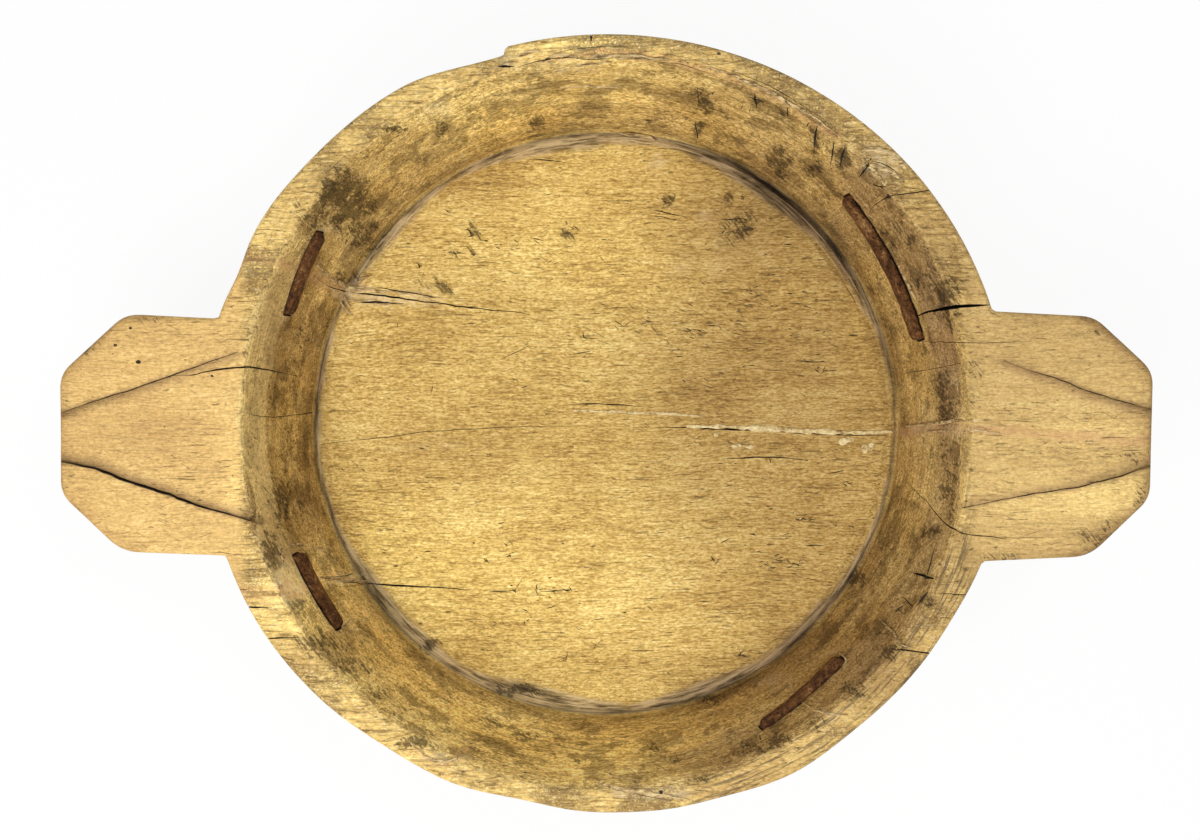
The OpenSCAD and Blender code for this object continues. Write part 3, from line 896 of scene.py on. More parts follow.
def seam_sections(points, width, seed):
    """Sections of one ragged strip of paste."""
    points = np.asarray(points, float)
    length = np.concatenate([[0.0], np.cumsum(np.linalg.norm(np.diff(points, axis=0), axis=1))])
    share = np.linspace(0.0, 1.0, int(length[-1] / 1.1))
    plan = np.column_stack([np.interp(share * length[-1], length, points[:, i]) for i in range(2)])
    at = np.column_stack([plan, 0 * share])
    along = np.gradient(plan, axis=0)
    across = np.column_stack([-along[:, 1], along[:, 0]]) / np.linalg.norm(along, axis=1)[:, None]
    plan = plan + across * (0.4 * smooth_noise(at, 14, seed) + 0.25 * smooth_noise(at, 4, seed + 1))[:, None]
    swell = 0.5 + 0.5 * np.sin(math.pi * np.clip(share, 0.02, 0.98)) ** 0.7
    half = width / 2 * swell * np.clip(0.95 + 0.5 * smooth_noise(at, 3.2, seed + 2), 0.5, 1.5)
    proud = SEAM_PROUD * (0.8 + 0.4 * smooth_noise(at, 2.4, seed + 3))
    rows = []
    for side, height in PASTE_SECTION:
        level = FLOOR_TOP + height + (proud if height > -1 else 0 * proud)
        rows.append(np.column_stack([plan + across * (half * side)[:, None], level]))
    return np.stack(rows, axis=1)


def crumb_sections(x, y, half_x, half_y, seed):
    """Sections of one crumb of paste pressed on the floor."""
    middle = on_bowl([(x, y)])[0][0]
    turn = np.linspace(0.0, 2 * math.pi, 11, endpoint=False)
    loop = np.column_stack([np.cos(turn) * half_x, np.sin(turn) * half_y, 0 * turn]) * 0.63
    loop *= (1 + 0.4 * smooth_noise(loop, 1.6, seed))[:, None]
    return np.stack([middle + loop * size + np.array([0, 0, height])
                     for height, size in ((-1.2, 0.9), (0.0, 1.0), (0.35, 0.75), (0.45, 0.35))])


def lay_filler(paste):
    shapes = [seam_sections(*seam, 700 + 10 * i) for i, seam in enumerate(SEAMS)]
    shapes += [crumb_sections(*crumb, 740 + 10 * i) for i, crumb in enumerate(CRUMBS)]
    strips = [draw_out("strip", shape) for shape in shapes]
    bpy.ops.object.select_all(action="DESELECT")
    for strip in strips:
        strip.select_set(True)
    bpy.context.view_layer.objects.active = strips[0]
    bpy.ops.object.join()
    piece = bpy.context.object
    piece.name = "seam_filler"
    finish_shape(piece, 0, 50)
    piece.data.materials.append(paste)
    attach(piece, "root")
    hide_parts("crack_filler")


# Wear, and painted light and shade, placed by the photograph: pixel, half sizes and strength

STAINS = [
    (342, 200, 30, 28, .9), (362, 236, 20, 22, .6), (346, 277, 12, 12, .7), (312, 222, 14, 14, .7),
    (365, 156, 6, 6, .4), (394, 130, 14, 6, .75), (440, 126, 12, 12, .6), (453, 143, 16, 6, .4),
    (497, 143, 12, 12, .4), (539, 124, 12, 10, .7), (697, 129, 7, 7, .8), (704, 101, 12, 12, .7),
    (726, 115, 7, 7, .5), (756, 101, 6, 6, .7), (784, 110, 5, 12, .6), (782, 163, 14, 14, .9),
    (815, 138, 5, 18, .7), (815, 166, 10, 10, .7), (841, 155, 8, 16, .8), (867, 166, 6, 14, .6),
    (648, 121, 8, 3, .7), (738, 228, 18, 16, .9), (668, 202, 6, 6, .7), (726, 198, 8, 8, .7),
    (430, 287, 15, 7, .9), (471, 233, 9, 4, .9), (454, 252, 5, 3, .9), (473, 254, 3, 3, .8),
    (418, 266, 4, 4, .9), (567, 233, 10, 3, .8), (949, 297, 14, 25, .8), (943, 381, 10, 25, .6),
    (947, 412, 12, 15, .6), (945, 455, 14, 20, .5), (949, 488, 12, 16, .6), (954, 516, 10, 12, .5),
    (928, 533, 16, 6, .6), (932, 277, 12, 20, .5), (912, 286, 10, 12, .4), (897, 233, 20, 20, .4),
    (888, 654, 12, 12, .8), (853, 690, 14, 10, .6), (776, 739, 14, 9, .8), (758, 749, 18, 8, .5),
    (652, 750, 10, 9, .6), (698, 779, 14, 6, .6), (676, 759, 6, 6, .5), (814, 723, 10, 10, .5),
    (855, 578, 9, 9, .8), (926, 603, 8, 8, .6), (901, 611, 8, 8, .5), (712, 699, 14, 5, .7),
    (274, 557, 12, 14, .7), (296, 604, 10, 8, .6), (321, 643, 26, 14, .6), (352, 668, 26, 16, .5),
    (377, 692, 16, 8, .5), (416, 743, 18, 8, .8), (431, 646, 14, 7, .8), (519, 690, 24, 7, .8),
    (492, 722, 20, 6, .5), (527, 736, 20, 6, .6), (578, 761, 4, 4, .7), (252, 430, 8, 110, .25),
    (275, 395, 12, 30, .4), (290, 440, 14, 30, .35), (280, 500, 16, 30, .6), (300, 520, 10, 20, .4),
    (270, 545, 12, 15, .6), (300, 340, 12, 20, .4), (1105, 537, 30, 14, .5), (1142, 500, 8, 20, .45),
    (1010, 558, 34, 6, .5), (1132, 458, 22, 8, .5), (1100, 332, 24, 8, .3), (960, 400, 8, 20, .35),
    (975, 372, 8, 10, .4), (972, 400, 6, 8, .4), (88, 345, 14, 18, .3), (130, 335, 10, 6, .25),
    (75, 515, 10, 12, .3), (150, 320, 30, 5, .35),
]
# Where the wood is painted lighter or darker, for its own colour and for painted light and shade (a broad
# painted shadow over the right of the floor, painted light to the lower left, painted shade at the left
# wall's foot and along the right lug's edges): pixel, half sizes and how much, as a power of e
TONE_AND_LIGHT = [
    (810, 380, 150, 190, -.48), (735, 215, 75, 50, -.30), (800, 560, 110, 70, -.14),
    (690, 420, 50, 100, -.14), (500, 590, 190, 110, .26), (590, 210, 110, 80, .18),
    (400, 560, 70, 70, .16), (480, 450, 80, 30, -.12), (420, 440, 70, 40, -.10), (620, 280, 60, 30, .15),
    (800, 650, 50, 30, -.30), (865, 320, 20, 60, .22), (325, 205, 40, 40, -.30),
    (285, 335, 20, 45, -.46), (300, 510, 18, 50, -.25), (865, 625, 50, 55, -.30),
    (760, 740, 70, 30, -.25), (470, 735, 110, 40, .30), (610, 760, 70, 26, .25), (300, 590, 16, 26, .35),
    (450, 110, 90, 30, .18), (600, 95, 90, 30, .15), (775, 155, 30, 30, -.25), (845, 215, 26, 30, -.20),
    (930, 250, 40, 50, -.40), (960, 600, 50, 50, -.30), (890, 690, 50, 50, -.30),
    (770, 785, 90, 24, -.40), (700, 45, 60, 16, -.20), (268, 262, 26, 18, .25), (420, 105, 20, 20, -.25),
    (238, 480, 20, 40, .30), (590, 50, 60, 20, .25), (125, 440, 60, 40, -.12), (1060, 335, 90, 30, -.10),
    (1060, 500, 90, 24, .18), (310, 660, 30, 20, -.30), (430, 775, 50, 14, -.20),
    (795, 680, 40, 30, -.20), (470, 130, 100, 40, .14), (360, 690, 50, 40, .16),
    (560, 745, 110, 30, .12), (1080, 430, 90, 10, .12), (80, 350, 24, 24, -.16), (80, 520, 24, 24, -.12),
    (1120, 540, 36, 20, -.18), (1125, 342, 30, 20, -.20), (935, 400, 30, 110, -.14),
    (610, 770, 120, 24, .16), (600, 45, 110, 16, .30), (300, 180, 40, 50, .14), (450, 512, 40, 24, -.14),
    (958, 322, 10, 14, -.25), (1060, 370, 70, 30, -.08), (480, 160, 70, 30, -.14),
    (820, 150, 40, 24, .10), (855, 235, 18, 44, -.34), (750, 690, 70, 24, -.36),
    (308, 515, 14, 55, -.18), (368, 612, 24, 30, -.18), (961, 415, 9, 45, .50), (1060, 500, 80, 16, .14),
    (1060, 440, 90, 10, .12), (270, 590, 30, 30, .18), (600, 698, 150, 18, .16), (370, 530, 40, 40, .08),
    (500, 240, 110, 30, .08), (308, 608, 14, 20, .40), (296, 577, 10, 12, .30), (450, 725, 50, 16, .15),
    (765, 172, 22, 14, -.22), (806, 212, 18, 18, -.26), (838, 255, 14, 26, -.26),
    (705, 710, 30, 12, -.20), (800, 655, 26, 24, -.20), (314, 345, 12, 55, -.30),
    (690, 115, 50, 26, -.16), (955, 545, 12, 20, -.28), (745, 240, 24, 20, -.18),
    (790, 300, 34, 22, .12), (880, 670, 34, 28, -.26), (316, 628, 16, 22, .22), (400, 745, 40, 16, -.14),
    (540, 120, 40, 14, -.16), (450, 178, 40, 20, -.18), (375, 722, 36, 18, -.18),
    (720, 795, 40, 8, -.24), (1060, 313, 80, 8, -.14), (1060, 556, 60, 8, -.20),
    (1130, 482, 24, 14, .16),
]
# How dark the floor's edge is painted, a dirty groove with painted shade: bearing and half width of each arc
# in degrees, and strength
FOOT_DARKENING = [
    (52, 24, 1.0), (215, 18, .9), (318, 20, .80), (180, 30, .8), (0, 30, .8), (100, 20, .5),
    (140, 20, .65), (260, 28, .4), (290, 20, .6),
]
# Arcs of the wall that are dark below the rim: bearing and half width in degrees, and strength
DUSKY = [(9, 26, 1.0), (40, 10, .7), (318, 20, .5), (345, 12, .6), (290, 12, .4), (206, 8, .5)]
# Pale scuffs and torn wood: pixel, half sizes and strength
SCUFFS = [
    (658, 161, 10, 7, .6), (700, 218, 14, 6, .5), (744, 447, 10, 4, .4), (395, 299, 42, 7, .9),
    (356, 294, 18, 12, .8), (399, 449, 14, 3, .4), (435, 446, 20, 3, .4), (885, 160, 22, 14, .95),
    (560, 66, 36, 7, .5), (508, 60, 14, 6, .6), (288, 586, 13, 26, .5), (940, 428, 40, 6, .5),
    (440, 760, 22, 6, .4), (650, 793, 44, 6, .8), (440, 108, 14, 8, .4), (326, 231, 9, 6, .8),
    (283, 317, 6, 4, .6), (345, 579, 18, 5, .9), (830, 714, 20, 6, .4), (776, 683, 20, 8, .5),
    (345, 626, 8, 8, .4), (838, 652, 10, 7, .4), (690, 268, 34, 5, .3),
]
# Bands of rosy wood across the rim and a lug: pixels along the middle, and half width
ROSY_BANDS = [
    ([(243, 256), (275, 261), (300, 268), (330, 285), (345, 290)], 6),
    ([(236, 592), (270, 594), (300, 590)], 9),
    ([(903, 432), (935, 428), (960, 428), (1040, 434), (1160, 442)], 6),
    ([(545, 60), (600, 51), (660, 57), (720, 73), (780, 99), (838, 137)], 5),
    ([(405, 744), (424, 758), (441, 764), (457, 759), (469, 745)], 3.5),
]


def mesh_points(mesh):
    """Places of a mesh's corners in millimetres, and their normals."""
    points = np.empty(len(mesh.vertices) * 3)
    normals = np.empty(len(mesh.vertices) * 3)
    mesh.vertices.foreach_get("co", points)
    mesh.vertex_normals.foreach_get("vector", normals)
    return points.reshape(-1, 3) / MM, normals.reshape(-1, 3)


def keep_on_mesh(mesh, name, first, second, third):
    """Keeps three values for each corner of a mesh, for its material."""
    values = np.column_stack([first, second, third, np.ones(len(first))])
    layer = mesh.attributes.new(name, "FLOAT_COLOR", "POINT")
    layer.data.foreach_set("color", values.astype(np.float32).ravel())


def near_path(pixels, path):
    """Distance from each pixel to a drawn path, positive on its right-hand side, and the share along it."""
    path = np.asarray(path, float)
    best = np.full(len(pixels), np.inf)
    signed = np.zeros(len(pixels))
    share = np.zeros(len(pixels))
    for i, (first, last) in enumerate(zip(path, path[1:])):
        along = last - first
        off = pixels - first
        part = np.clip(off @ along / (along @ along), 0.0, 1.0)
        away = np.linalg.norm(off - part[:, None] * along, axis=1)
        nearer = away < best
        side = np.sign(along[0] * off[:, 1] - along[1] * off[:, 0])
        signed = np.where(nearer, side * away, signed)
        share = np.where(nearer, (i + part) / (len(path) - 1), share)
        best = np.minimum(best, away)
    return signed, share


def tone_and_light_marks(pixels):
    """How much lighter or darker the wood is painted at each pixel, for its own colour and for painted light
    and shade, as a power of e.
    """
    power = np.zeros(len(pixels))
    for x, y, half_x, half_y, amount in TONE_AND_LIGHT:
        power += amount * np.exp(-((pixels[:, 0] - x) / half_x) ** 2 - ((pixels[:, 1] - y) / half_y) ** 2)
    return power


def grime_and_shade_marks(points, pixels, radius, upper):
    """Dirt and painted shade in the groove at the wall's foot, and painted shade beside the lines of the
    lugs.
    """
    wander = 1.3 * smooth_noise(points, 30, 57) + 0.8 * smooth_noise(points, 8, 58)
    frayed = np.clip(arc_strength(np.arctan2(points[:, 1], points[:, 0]), FRAYED) / 8.0, 0.0, 1.0)
    width = (1.7 + 0.8 * smooth_noise(points, 24, 59)) * (0.6 + 0.4 * frayed)
    grime_and_shade = np.exp(-((radius - FLOOR_RADIUS + 0.8 + wander) / width) ** 2)
    grime_and_shade *= (points[:, 2] < 30) & (points[:, 2] > 15)
    grime_and_shade *= 1.1 + 0.35 * smooth_noise(points, 40, 60)
    # Painted shade beside each lug line, reaching further on the side of its slice.
    for path, tip_depth, bowl_depth, side in LUG_LINES:
        away, share = near_path(pixels, path)
        strength = 0.35 + 0.45 * (tip_depth + (bowl_depth - tip_depth) * share) / 3.4
        near = np.exp(-(np.abs(away) / np.where(away * side > 0, 5.0, 1.6)) ** 1.3)
        grime_and_shade = np.maximum(grime_and_shade, strength * near * upper * (points[:, 2] > 95))
    return grime_and_shade


def spot_marks(points, pixels, spots, seed):
    """Strength of some ragged spots at each point."""
    push = np.column_stack([smooth_noise(points, 9, seed), smooth_noise(points, 9, seed + 1)])
    push += 0.6 * np.column_stack([smooth_noise(points, 4.5, seed + 2), smooth_noise(points, 4.5, seed + 3)])
    marks = np.zeros(len(points))
    for x, y, half_x, half_y, strength in spots:
        off = (pixels - (x, y)) / (half_x, half_y) + 0.5 * push
        marks = np.maximum(marks, strength * (1 - smooth_step(0.1, 1.6, np.hypot(off[:, 0], off[:, 1]))))
    return marks


def rosy_and_shade_marks(points, pixels):
    """Rosy wood in bands, and pinkish painted shade beside the lines cut on the lugs."""
    pushed = pixels + 3 * smooth_noise(points, 7, 63)[:, None]
    rosy_and_shade = np.zeros(len(points))
    for path, half in ROSY_BANDS:
        away = near_path(pushed, path)[0]
        rosy_and_shade = np.maximum(rosy_and_shade, 1 - smooth_step(0.4, 1.3, np.abs(away) / half))
    # Pinkish painted shade beside each lug line, wide on the side of its slice.
    for path, tip_depth, bowl_depth, side in LUG_LINES:
        away, share = near_path(pushed, path)
        reach = np.where(away * side > 0, 20.0 - 8.0 * share, 2.5)
        rosy_and_shade = np.maximum(rosy_and_shade, 0.8 * (1 - smooth_step(0.0, 1.0, np.abs(away) / reach)))
    return rosy_and_shade


def lug_edge_shade(points, pixels):
    """Painted shade along the lugs' outer edges, where they round over."""
    worn = np.zeros(len(points))
    for corners, strength in ((LEFT_LUG, 0.4), (RIGHT_LUG, 0.9)):
        outline = rounded_outline(corners, LUG_CORNERS)[1:-1]
        path = to_photo(np.column_stack([outline, np.full(len(outline), RIM_TOP)]))
        away = np.abs(near_path(pixels, path)[0]) + 4 * smooth_noise(points, 9, 65)
        worn = np.maximum(worn, strength * (1 - smooth_step(1.0, 14.0, away)))
    return worn


def mark_wear_and_shade(piece):
    """Marks each corner of the bowl with its zone, its wear, and painted light and shade."""
    points, normals = mesh_points(piece.data)
    pixels = to_photo(points)
    height = points[:, 2]
    radius = np.hypot(points[:, 0], points[:, 1])
    bearing = np.arctan2(points[:, 1], points[:, 0])
    inside = smooth_step(6.0, 4.0, radius - wall_radius(height)) * (height > 15)
    upper = np.clip(smooth_step(-0.2, 0.1, normals[:, 2]) + inside, 0, 1)
    khaki = smooth_step(-0.82, -0.96, np.cos(bearing)) * (0.6 + 0.6 * smooth_noise(points, 30, 64))
    keep_on_mesh(piece.data, "zone", 1 - upper, arc_strength(bearing, DUSKY), khaki)

    # Painted shade along the lugs' outer edges.
    worn = lug_edge_shade(points, pixels) * smooth_step(60, 80, height) * upper
    stain = spot_marks(points, pixels, STAINS, 53) * upper
    # The wood's own lighter and darker places, painted light and shade, and the painted shade of the lug
    # edges, as one multiplier.
    tone = np.exp((tone_and_light_marks(pixels) - 0.6 * worn) * upper)
    frayed = arc_strength(bearing, FRAYED) + 1.5 * smooth_noise(points, 18, 61)
    fray = smooth_step(-7.0, 5.0, frayed - (FLOOR_RADIUS - radius)) * (height < 26) * (height > 15)
    fray *= smooth_step(1.0, -1.0, radius - FLOOR_RADIUS)
    # A dirty groove with painted shade at the floor's edge, stronger on the listed arcs.
    foot_dark = arc_strength(bearing, FOOT_DARKENING)
    grime_and_shade = np.where(height < 40, foot_dark, 1.0) * grime_and_shade_marks(points, pixels, radius, upper)
    grime_and_shade = np.clip(np.maximum(grime_and_shade, 0.65 * fray * foot_dark ** 3), 0.0, 1.0)
    # The wear layer holds stains, the wood's colour with painted light and shade, and dirty grooves with
    # painted shade.
    keep_on_mesh(piece.data, "wear", stain, tone / 2, grime_and_shade)
    pale = spot_marks(points, pixels, SCUFFS, 66) * upper
    # The tint layer holds torn fibres, pink bands of wood with pinkish painted shade by the lug lines, and
    # pale scuffs.
    keep_on_mesh(piece.data, "tint", fray, rosy_and_shade_marks(points, pixels) * upper, pale)


# Materials

class Wire:
    """A socket that carries a number, with arithmetic."""

    def __init__(self, paint, socket):
        self.paint = paint
        self.socket = socket

    def maths(self, operation, first, second):
        return self.paint.node("ShaderNodeMath", {"operation": operation}, {0: first, 1: second})

    def __add__(self, other):
        return self.maths("ADD", self, other)

    def __radd__(self, other):
        return self.maths("ADD", other, self)

    def __sub__(self, other):
        return self.maths("SUBTRACT", self, other)

    def __rsub__(self, other):
        return self.maths("SUBTRACT", other, self)

    def __mul__(self, other):
        return self.maths("MULTIPLY", self, other)

    def __rmul__(self, other):
        return self.maths("MULTIPLY", other, self)


class Paint:
    """A material or a world, and the nodes that it is mixed from."""

    def __init__(self, material):
        self.material = material
        self.material.use_nodes = True
        self.nodes = self.material.node_tree.nodes
        self.links = self.material.node_tree.links
        self.nodes.clear()

    def node(self, kind, settings=None, sockets=None, out=0):
        """A node with its settings, then its sockets, as the wire of one of its outputs."""
        made = self.nodes.new(kind)
        for name, value in (settings or {}).items():
            if name == "stops":
                self.set_stops(made.color_ramp, value)
            else:
                setattr(made, name, value)
        for name, value in (sockets or {}).items():
            if isinstance(value, Wire):
                self.links.new(value.socket, made.inputs[name])
            else:
                made.inputs[name].default_value = value
        return Wire(self, made.outputs[out]) if made.outputs else None

    def set_stops(self, ramp, stops):
        while len(ramp.elements) < len(stops):
            ramp.elements.new(0.5)
        for element, (place, colour) in zip(ramp.elements, stops):
            element.position = place
            element.color = (*colour, 1)

    def place(self):
        return self.node("ShaderNodeTexCoord", out="Object")

    def vectors(self, operation, first, second=(0, 0, 0), out=0):
        return self.node("ShaderNodeVectorMath", {"operation": operation}, {0: first, 1: second}, out)

    def stretched(self, place, scale):
        return self.vectors("MULTIPLY", place, scale)

    def noise(self, place, scale, detail=3.0, roughness=0.55, out=0):
        """Noise with this many features to a metre along each axis."""
        sockets = {"Vector": self.stretched(place, scale), "Scale": 1.0}
        sockets.update({"Detail": detail, "Roughness": roughness})
        return self.node("ShaderNodeTexNoise", None, sockets, out)

    def wandering(self, place, scale, reach):
        """The place, pushed about by slow noise."""
        push = self.noise(place, scale, 2.0, 0.5, "Color")
        push = self.vectors("SUBTRACT", push, (0.5, 0.5, 0.5))
        return self.vectors("ADD", self.stretched(push, reach), place)

    def along(self, place, direction):
        """How far a place lies in a direction."""
        return self.vectors("DOT_PRODUCT", place, direction, 1)

    def from_middle(self, place):
        """How far a place is from the upright middle line."""
        return self.vectors("LENGTH", self.stretched(place, (1, 1, 0)), out=1)

    def around(self, place, climb):
        """Coordinates that run round the bowl, and up its wall with the climb."""
        ahead = self.vectors("NORMALIZE", self.stretched(place, (1, 1, 0)))
        return self.vectors("ADD", ahead, self.node("ShaderNodeCombineXYZ", None, {2: climb}))

    def turned(self, place, angle):
        sockets = {"Vector": place, "Angle": angle}
        return self.node("ShaderNodeVectorRotate", {"rotation_type": "Z_AXIS"}, sockets)

    def rise(self, value, low, high):
        """From 0 to 1 as a value goes from low to high, with soft ends."""
        sockets = {"Value": value, "From Min": low, "From Max": high}
        return self.node("ShaderNodeMapRange", {"interpolation_type": "SMOOTHSTEP"}, sockets)

    def ramp(self, value, stops):
        return self.node("ShaderNodeValToRGB", {"stops": stops}, {"Fac": value})

    def blend(self, share, first, second, way="MIX"):
        """Mixes two colours, or multiplies the first by the second, by a share."""
        settings = {"data_type": "RGBA", "blend_type": way}
        colours = [colour if isinstance(colour, Wire) else (*colour, 1) for colour in (first, second)]
        return self.node("ShaderNodeMix", settings, {0: share, 6: colours[0], 7: colours[1]}, 2)

    def tint(self, share, first, second):
        """Multiplies a colour by a second one, by a share."""
        return self.blend(share, first, second, "MULTIPLY")

    def kept(self, name):
        """Three values kept on the mesh."""
        layer = self.node("ShaderNodeAttribute", {"attribute_name": name})
        return [self.node("ShaderNodeSeparateColor", None, {0: layer}, out) for out in range(3)]

    def mixed(self, red, green, blue):
        return self.node("ShaderNodeCombineColor", None, {0: red, 1: green, 2: blue})

    def bump(self, height, strength, distance):
        sockets = {"Strength": strength, "Distance": distance, "Height": height}
        return self.node("ShaderNodeBump", None, sockets)

    def finish(self, **sockets):
        """Ends the material in a principled shader."""
        named = {}
        for name, value in sockets.items():
            named[name.replace("_", " ").title().replace("Ior", "IOR")] = value
        shader = self.node("ShaderNodeBsdfPrincipled", None, named)
        self.node("ShaderNodeOutputMaterial", None, {"Surface": shader})
        return self.material


class Wood:
    """The bowl's wood: where a point lies, what is kept for it, and the noises that its marks share."""

    def __init__(self, paint):
        self.place = paint.place()
        self.grain_place = paint.wandering(self.place, (5, 9, 9), (0.0, 0.018, 0.018))
        self.outside, self.dusk, self.khaki = paint.kept("zone")
        self.stain, self.tone, self.grime_and_shade = paint.kept("wear")
        self.fray, self.rosy_and_shade, self.pale = paint.kept("tint")
        self.find_zones(paint)
        self.find_noises(paint)

    def find_zones(self, paint):
        """How far up the wall a point is, and masks of the wall, the rim and the lugs."""
        x = paint.along(self.place, (1, 0, 0))
        y = paint.along(self.place, (0, 1, 0))
        level = paint.along(self.place, (0, 0, 1))
        climb = paint.from_middle(self.place) + level
        self.lip = climb * 1000 - (HOLLOW_RADIUS + RIM_TOP)
        self.round_place = paint.around(self.place, climb)
        self.patch = paint.noise(self.place, (38, 38, 38), 6.0, 0.7)
        ragged = paint.noise(self.place, (110, 110, 110), 4.0, 0.6) - 0.5
        below_lug = paint.rise(y, -0.015, -0.042) * paint.rise(y, -0.072, -0.050)
        below_lug = below_lug * paint.rise(x, -0.19, -0.2)
        edge = self.lip - self.khaki * 5 + paint.rise(x, 0.196, 0.205) * 11 + below_lug * 12
        edge = edge + ragged * 7 + (self.patch - 0.5) * 14
        self.wall = paint.rise(edge, -1.4, -2.8) * paint.rise(level, 0.025, 0.029) * (1 - self.outside)
        self.top = paint.rise(level, 0.088, 0.096) * (1 - self.wall) * (1 - self.outside)
        self.lug = paint.rise(x * x, 0.0425, 0.047) * self.top
        self.left_lug = self.lug * paint.rise(x, 0.1, -0.1)
        self.rim = self.top - self.lug
        self.low_right = paint.rise(paint.along(self.place, (0.75, -0.65, 0)), 0.15, 0.19)

    def find_noises(self, paint):
        """Grain along the bowl, tool marks round it, and roughness."""
        self.dash = paint.rise(paint.noise(self.grain_place, (150, 1050, 1050), 2.0, 0.6), 0.36, 0.64)
        self.fibre = paint.noise(self.grain_place, (34, 420, 420), 4.0, 0.6)
        self.streak = paint.noise(self.grain_place, (6, 130, 130), 4.0)
        round_streak = paint.noise(self.round_place, (7, 7, 380), 5.0, 0.65)
        round_fine = paint.noise(self.round_place, (34, 34, 1300), 2.0, 0.6)
        self.marks = round_streak * 0.55 + round_fine * 0.45
        self.threads = paint.noise(self.round_place, (8, 8, 620), 5.0, 0.65)
        self.rough = paint.noise(self.place, (430, 430, 430), 4.0, 0.7)
        winding = paint.wandering(self.grain_place, (60, 60, 60), (0.0, 0.005, 0.005))
        self.ridges = paint.noise(winding, (42, 380, 380), 5.0, 0.7)
        self.weather = paint.rise(paint.noise(self.place, (15, 15, 15), 5.0, 0.65), 0.44, 0.58)
        self.fray = paint.rise(self.fray + (self.threads - 0.5) * 1.2, 0.30, 0.80)
        broken = paint.rise(self.fibre * 0.3 + self.streak * 0.2 + self.marks * 0.5, 0.43, 0.54)
        self.rosy_and_shade = self.rosy_and_shade * (0.25 + 0.75 * broken)
        self.find_lines(paint)

    def find_lines(self, paint):
        """Pores, flecks, gaps in the grain, scratches, and the cracks of weathered wood."""
        fine = paint.noise(self.grain_place, (60, 1100, 1100), 2.0)
        crowd = paint.noise(self.place, (9, 26, 26), 2.0)
        self.pores = paint.rise(fine, 0.62, 0.70) * paint.rise(crowd, 0.40, 0.60)
        strewn = paint.wandering(self.place, (120, 120, 120), (0.004, 0.004, 0.004))
        flecks = paint.noise(strewn, (130, 420, 420), 3.0, 0.6)
        self.flecks = paint.rise(flecks + self.wall * 0.03 + self.rim * 0.02, 0.66, 0.70)
        gaps = paint.noise(self.grain_place, (20, 520, 520), 3.0) + self.rim * 0.04
        open_wood = self.rim * (0.8 - 0.6 * self.low_right) + self.lug * 0.35 + self.outside
        self.gaps = paint.rise(gaps, 0.60, 0.68) * open_wood
        falling = paint.noise(paint.turned(self.place, 0.45), (70, 1400, 50), 1.0)
        rising = paint.noise(paint.turned(self.place, -0.35), (55, 1300, 50), 1.0)
        self.scratches = paint.rise(falling, 0.70, 0.76) + paint.rise(rising, 0.71, 0.77)
        curled = paint.wandering(self.place, (70, 70, 70), (0.006, 0.006, 0.006))
        net = paint.node("ShaderNodeTexVoronoi", {"feature": "DISTANCE_TO_EDGE"},
                         {"Vector": curled, "Scale": 480.0})
        bare = self.rim * 0.9 + self.outside * 0.5
        self.cracks = (1 - paint.rise(net, 0.04, 0.26)) * self.weather * bare

    def height(self):
        """How high the wood's surface stands, for its bump."""
        level = self.dash * 0.12 + self.fibre * 0.4 + self.streak * 0.25
        level = level + self.patch * 0.5 * (self.wall + self.outside)
        level = level + self.marks * (self.wall + self.rim + self.fray)
        level = level + self.rough * (0.3 + 0.6 * self.rim + 0.4 * self.wall) + self.ridges * self.rim * 1.2
        level = level - self.pores * 0.5 - self.gaps * 0.6 - self.cracks * 0.6
        return level - self.scratches * 0.3 - self.flecks * 0.3


def grain_colour(paint, wood):
    """Golden wood with its grain along the bowl, paler on top and greyer outside."""
    mottle = paint.noise(wood.place, (17, 28, 28), 5.0, 0.6)
    grain = wood.dash * 0.12 + wood.fibre * 0.24 + wood.streak * 0.16 + mottle * 0.32 + 0.07
    colour = paint.ramp(grain, [(0.34, (.34, .20, .060)), (0.445, (.63, .415, .133)),
                                (0.525, (.79, .555, .195)), (0.64, (.98, .77, .33))])
    speck = paint.noise(wood.grain_place, (420, 850, 850), 3.0, 0.7)
    speckle = paint.ramp(speck, [(0.36, (.60, .53, .34)), (0.50, (.89, .855, .73)),
                                 (0.62, (1.05, 1.07, 1.13))])
    colour = paint.tint(1.0, colour, speckle)
    colour = paint.blend(wood.rim * 0.2 + wood.lug * 0.4, colour, (.78, .56, .25))
    colour = paint.tint(wood.top, colour, (1.06, 1.08, 1.14))
    colour = paint.tint(wood.lug, colour, (.98, .95, .90))
    colour = paint.tint(wood.left_lug, colour, (1.05, 1.0, .97))
    return paint.tint(wood.outside, colour, (.74, .69, .62))


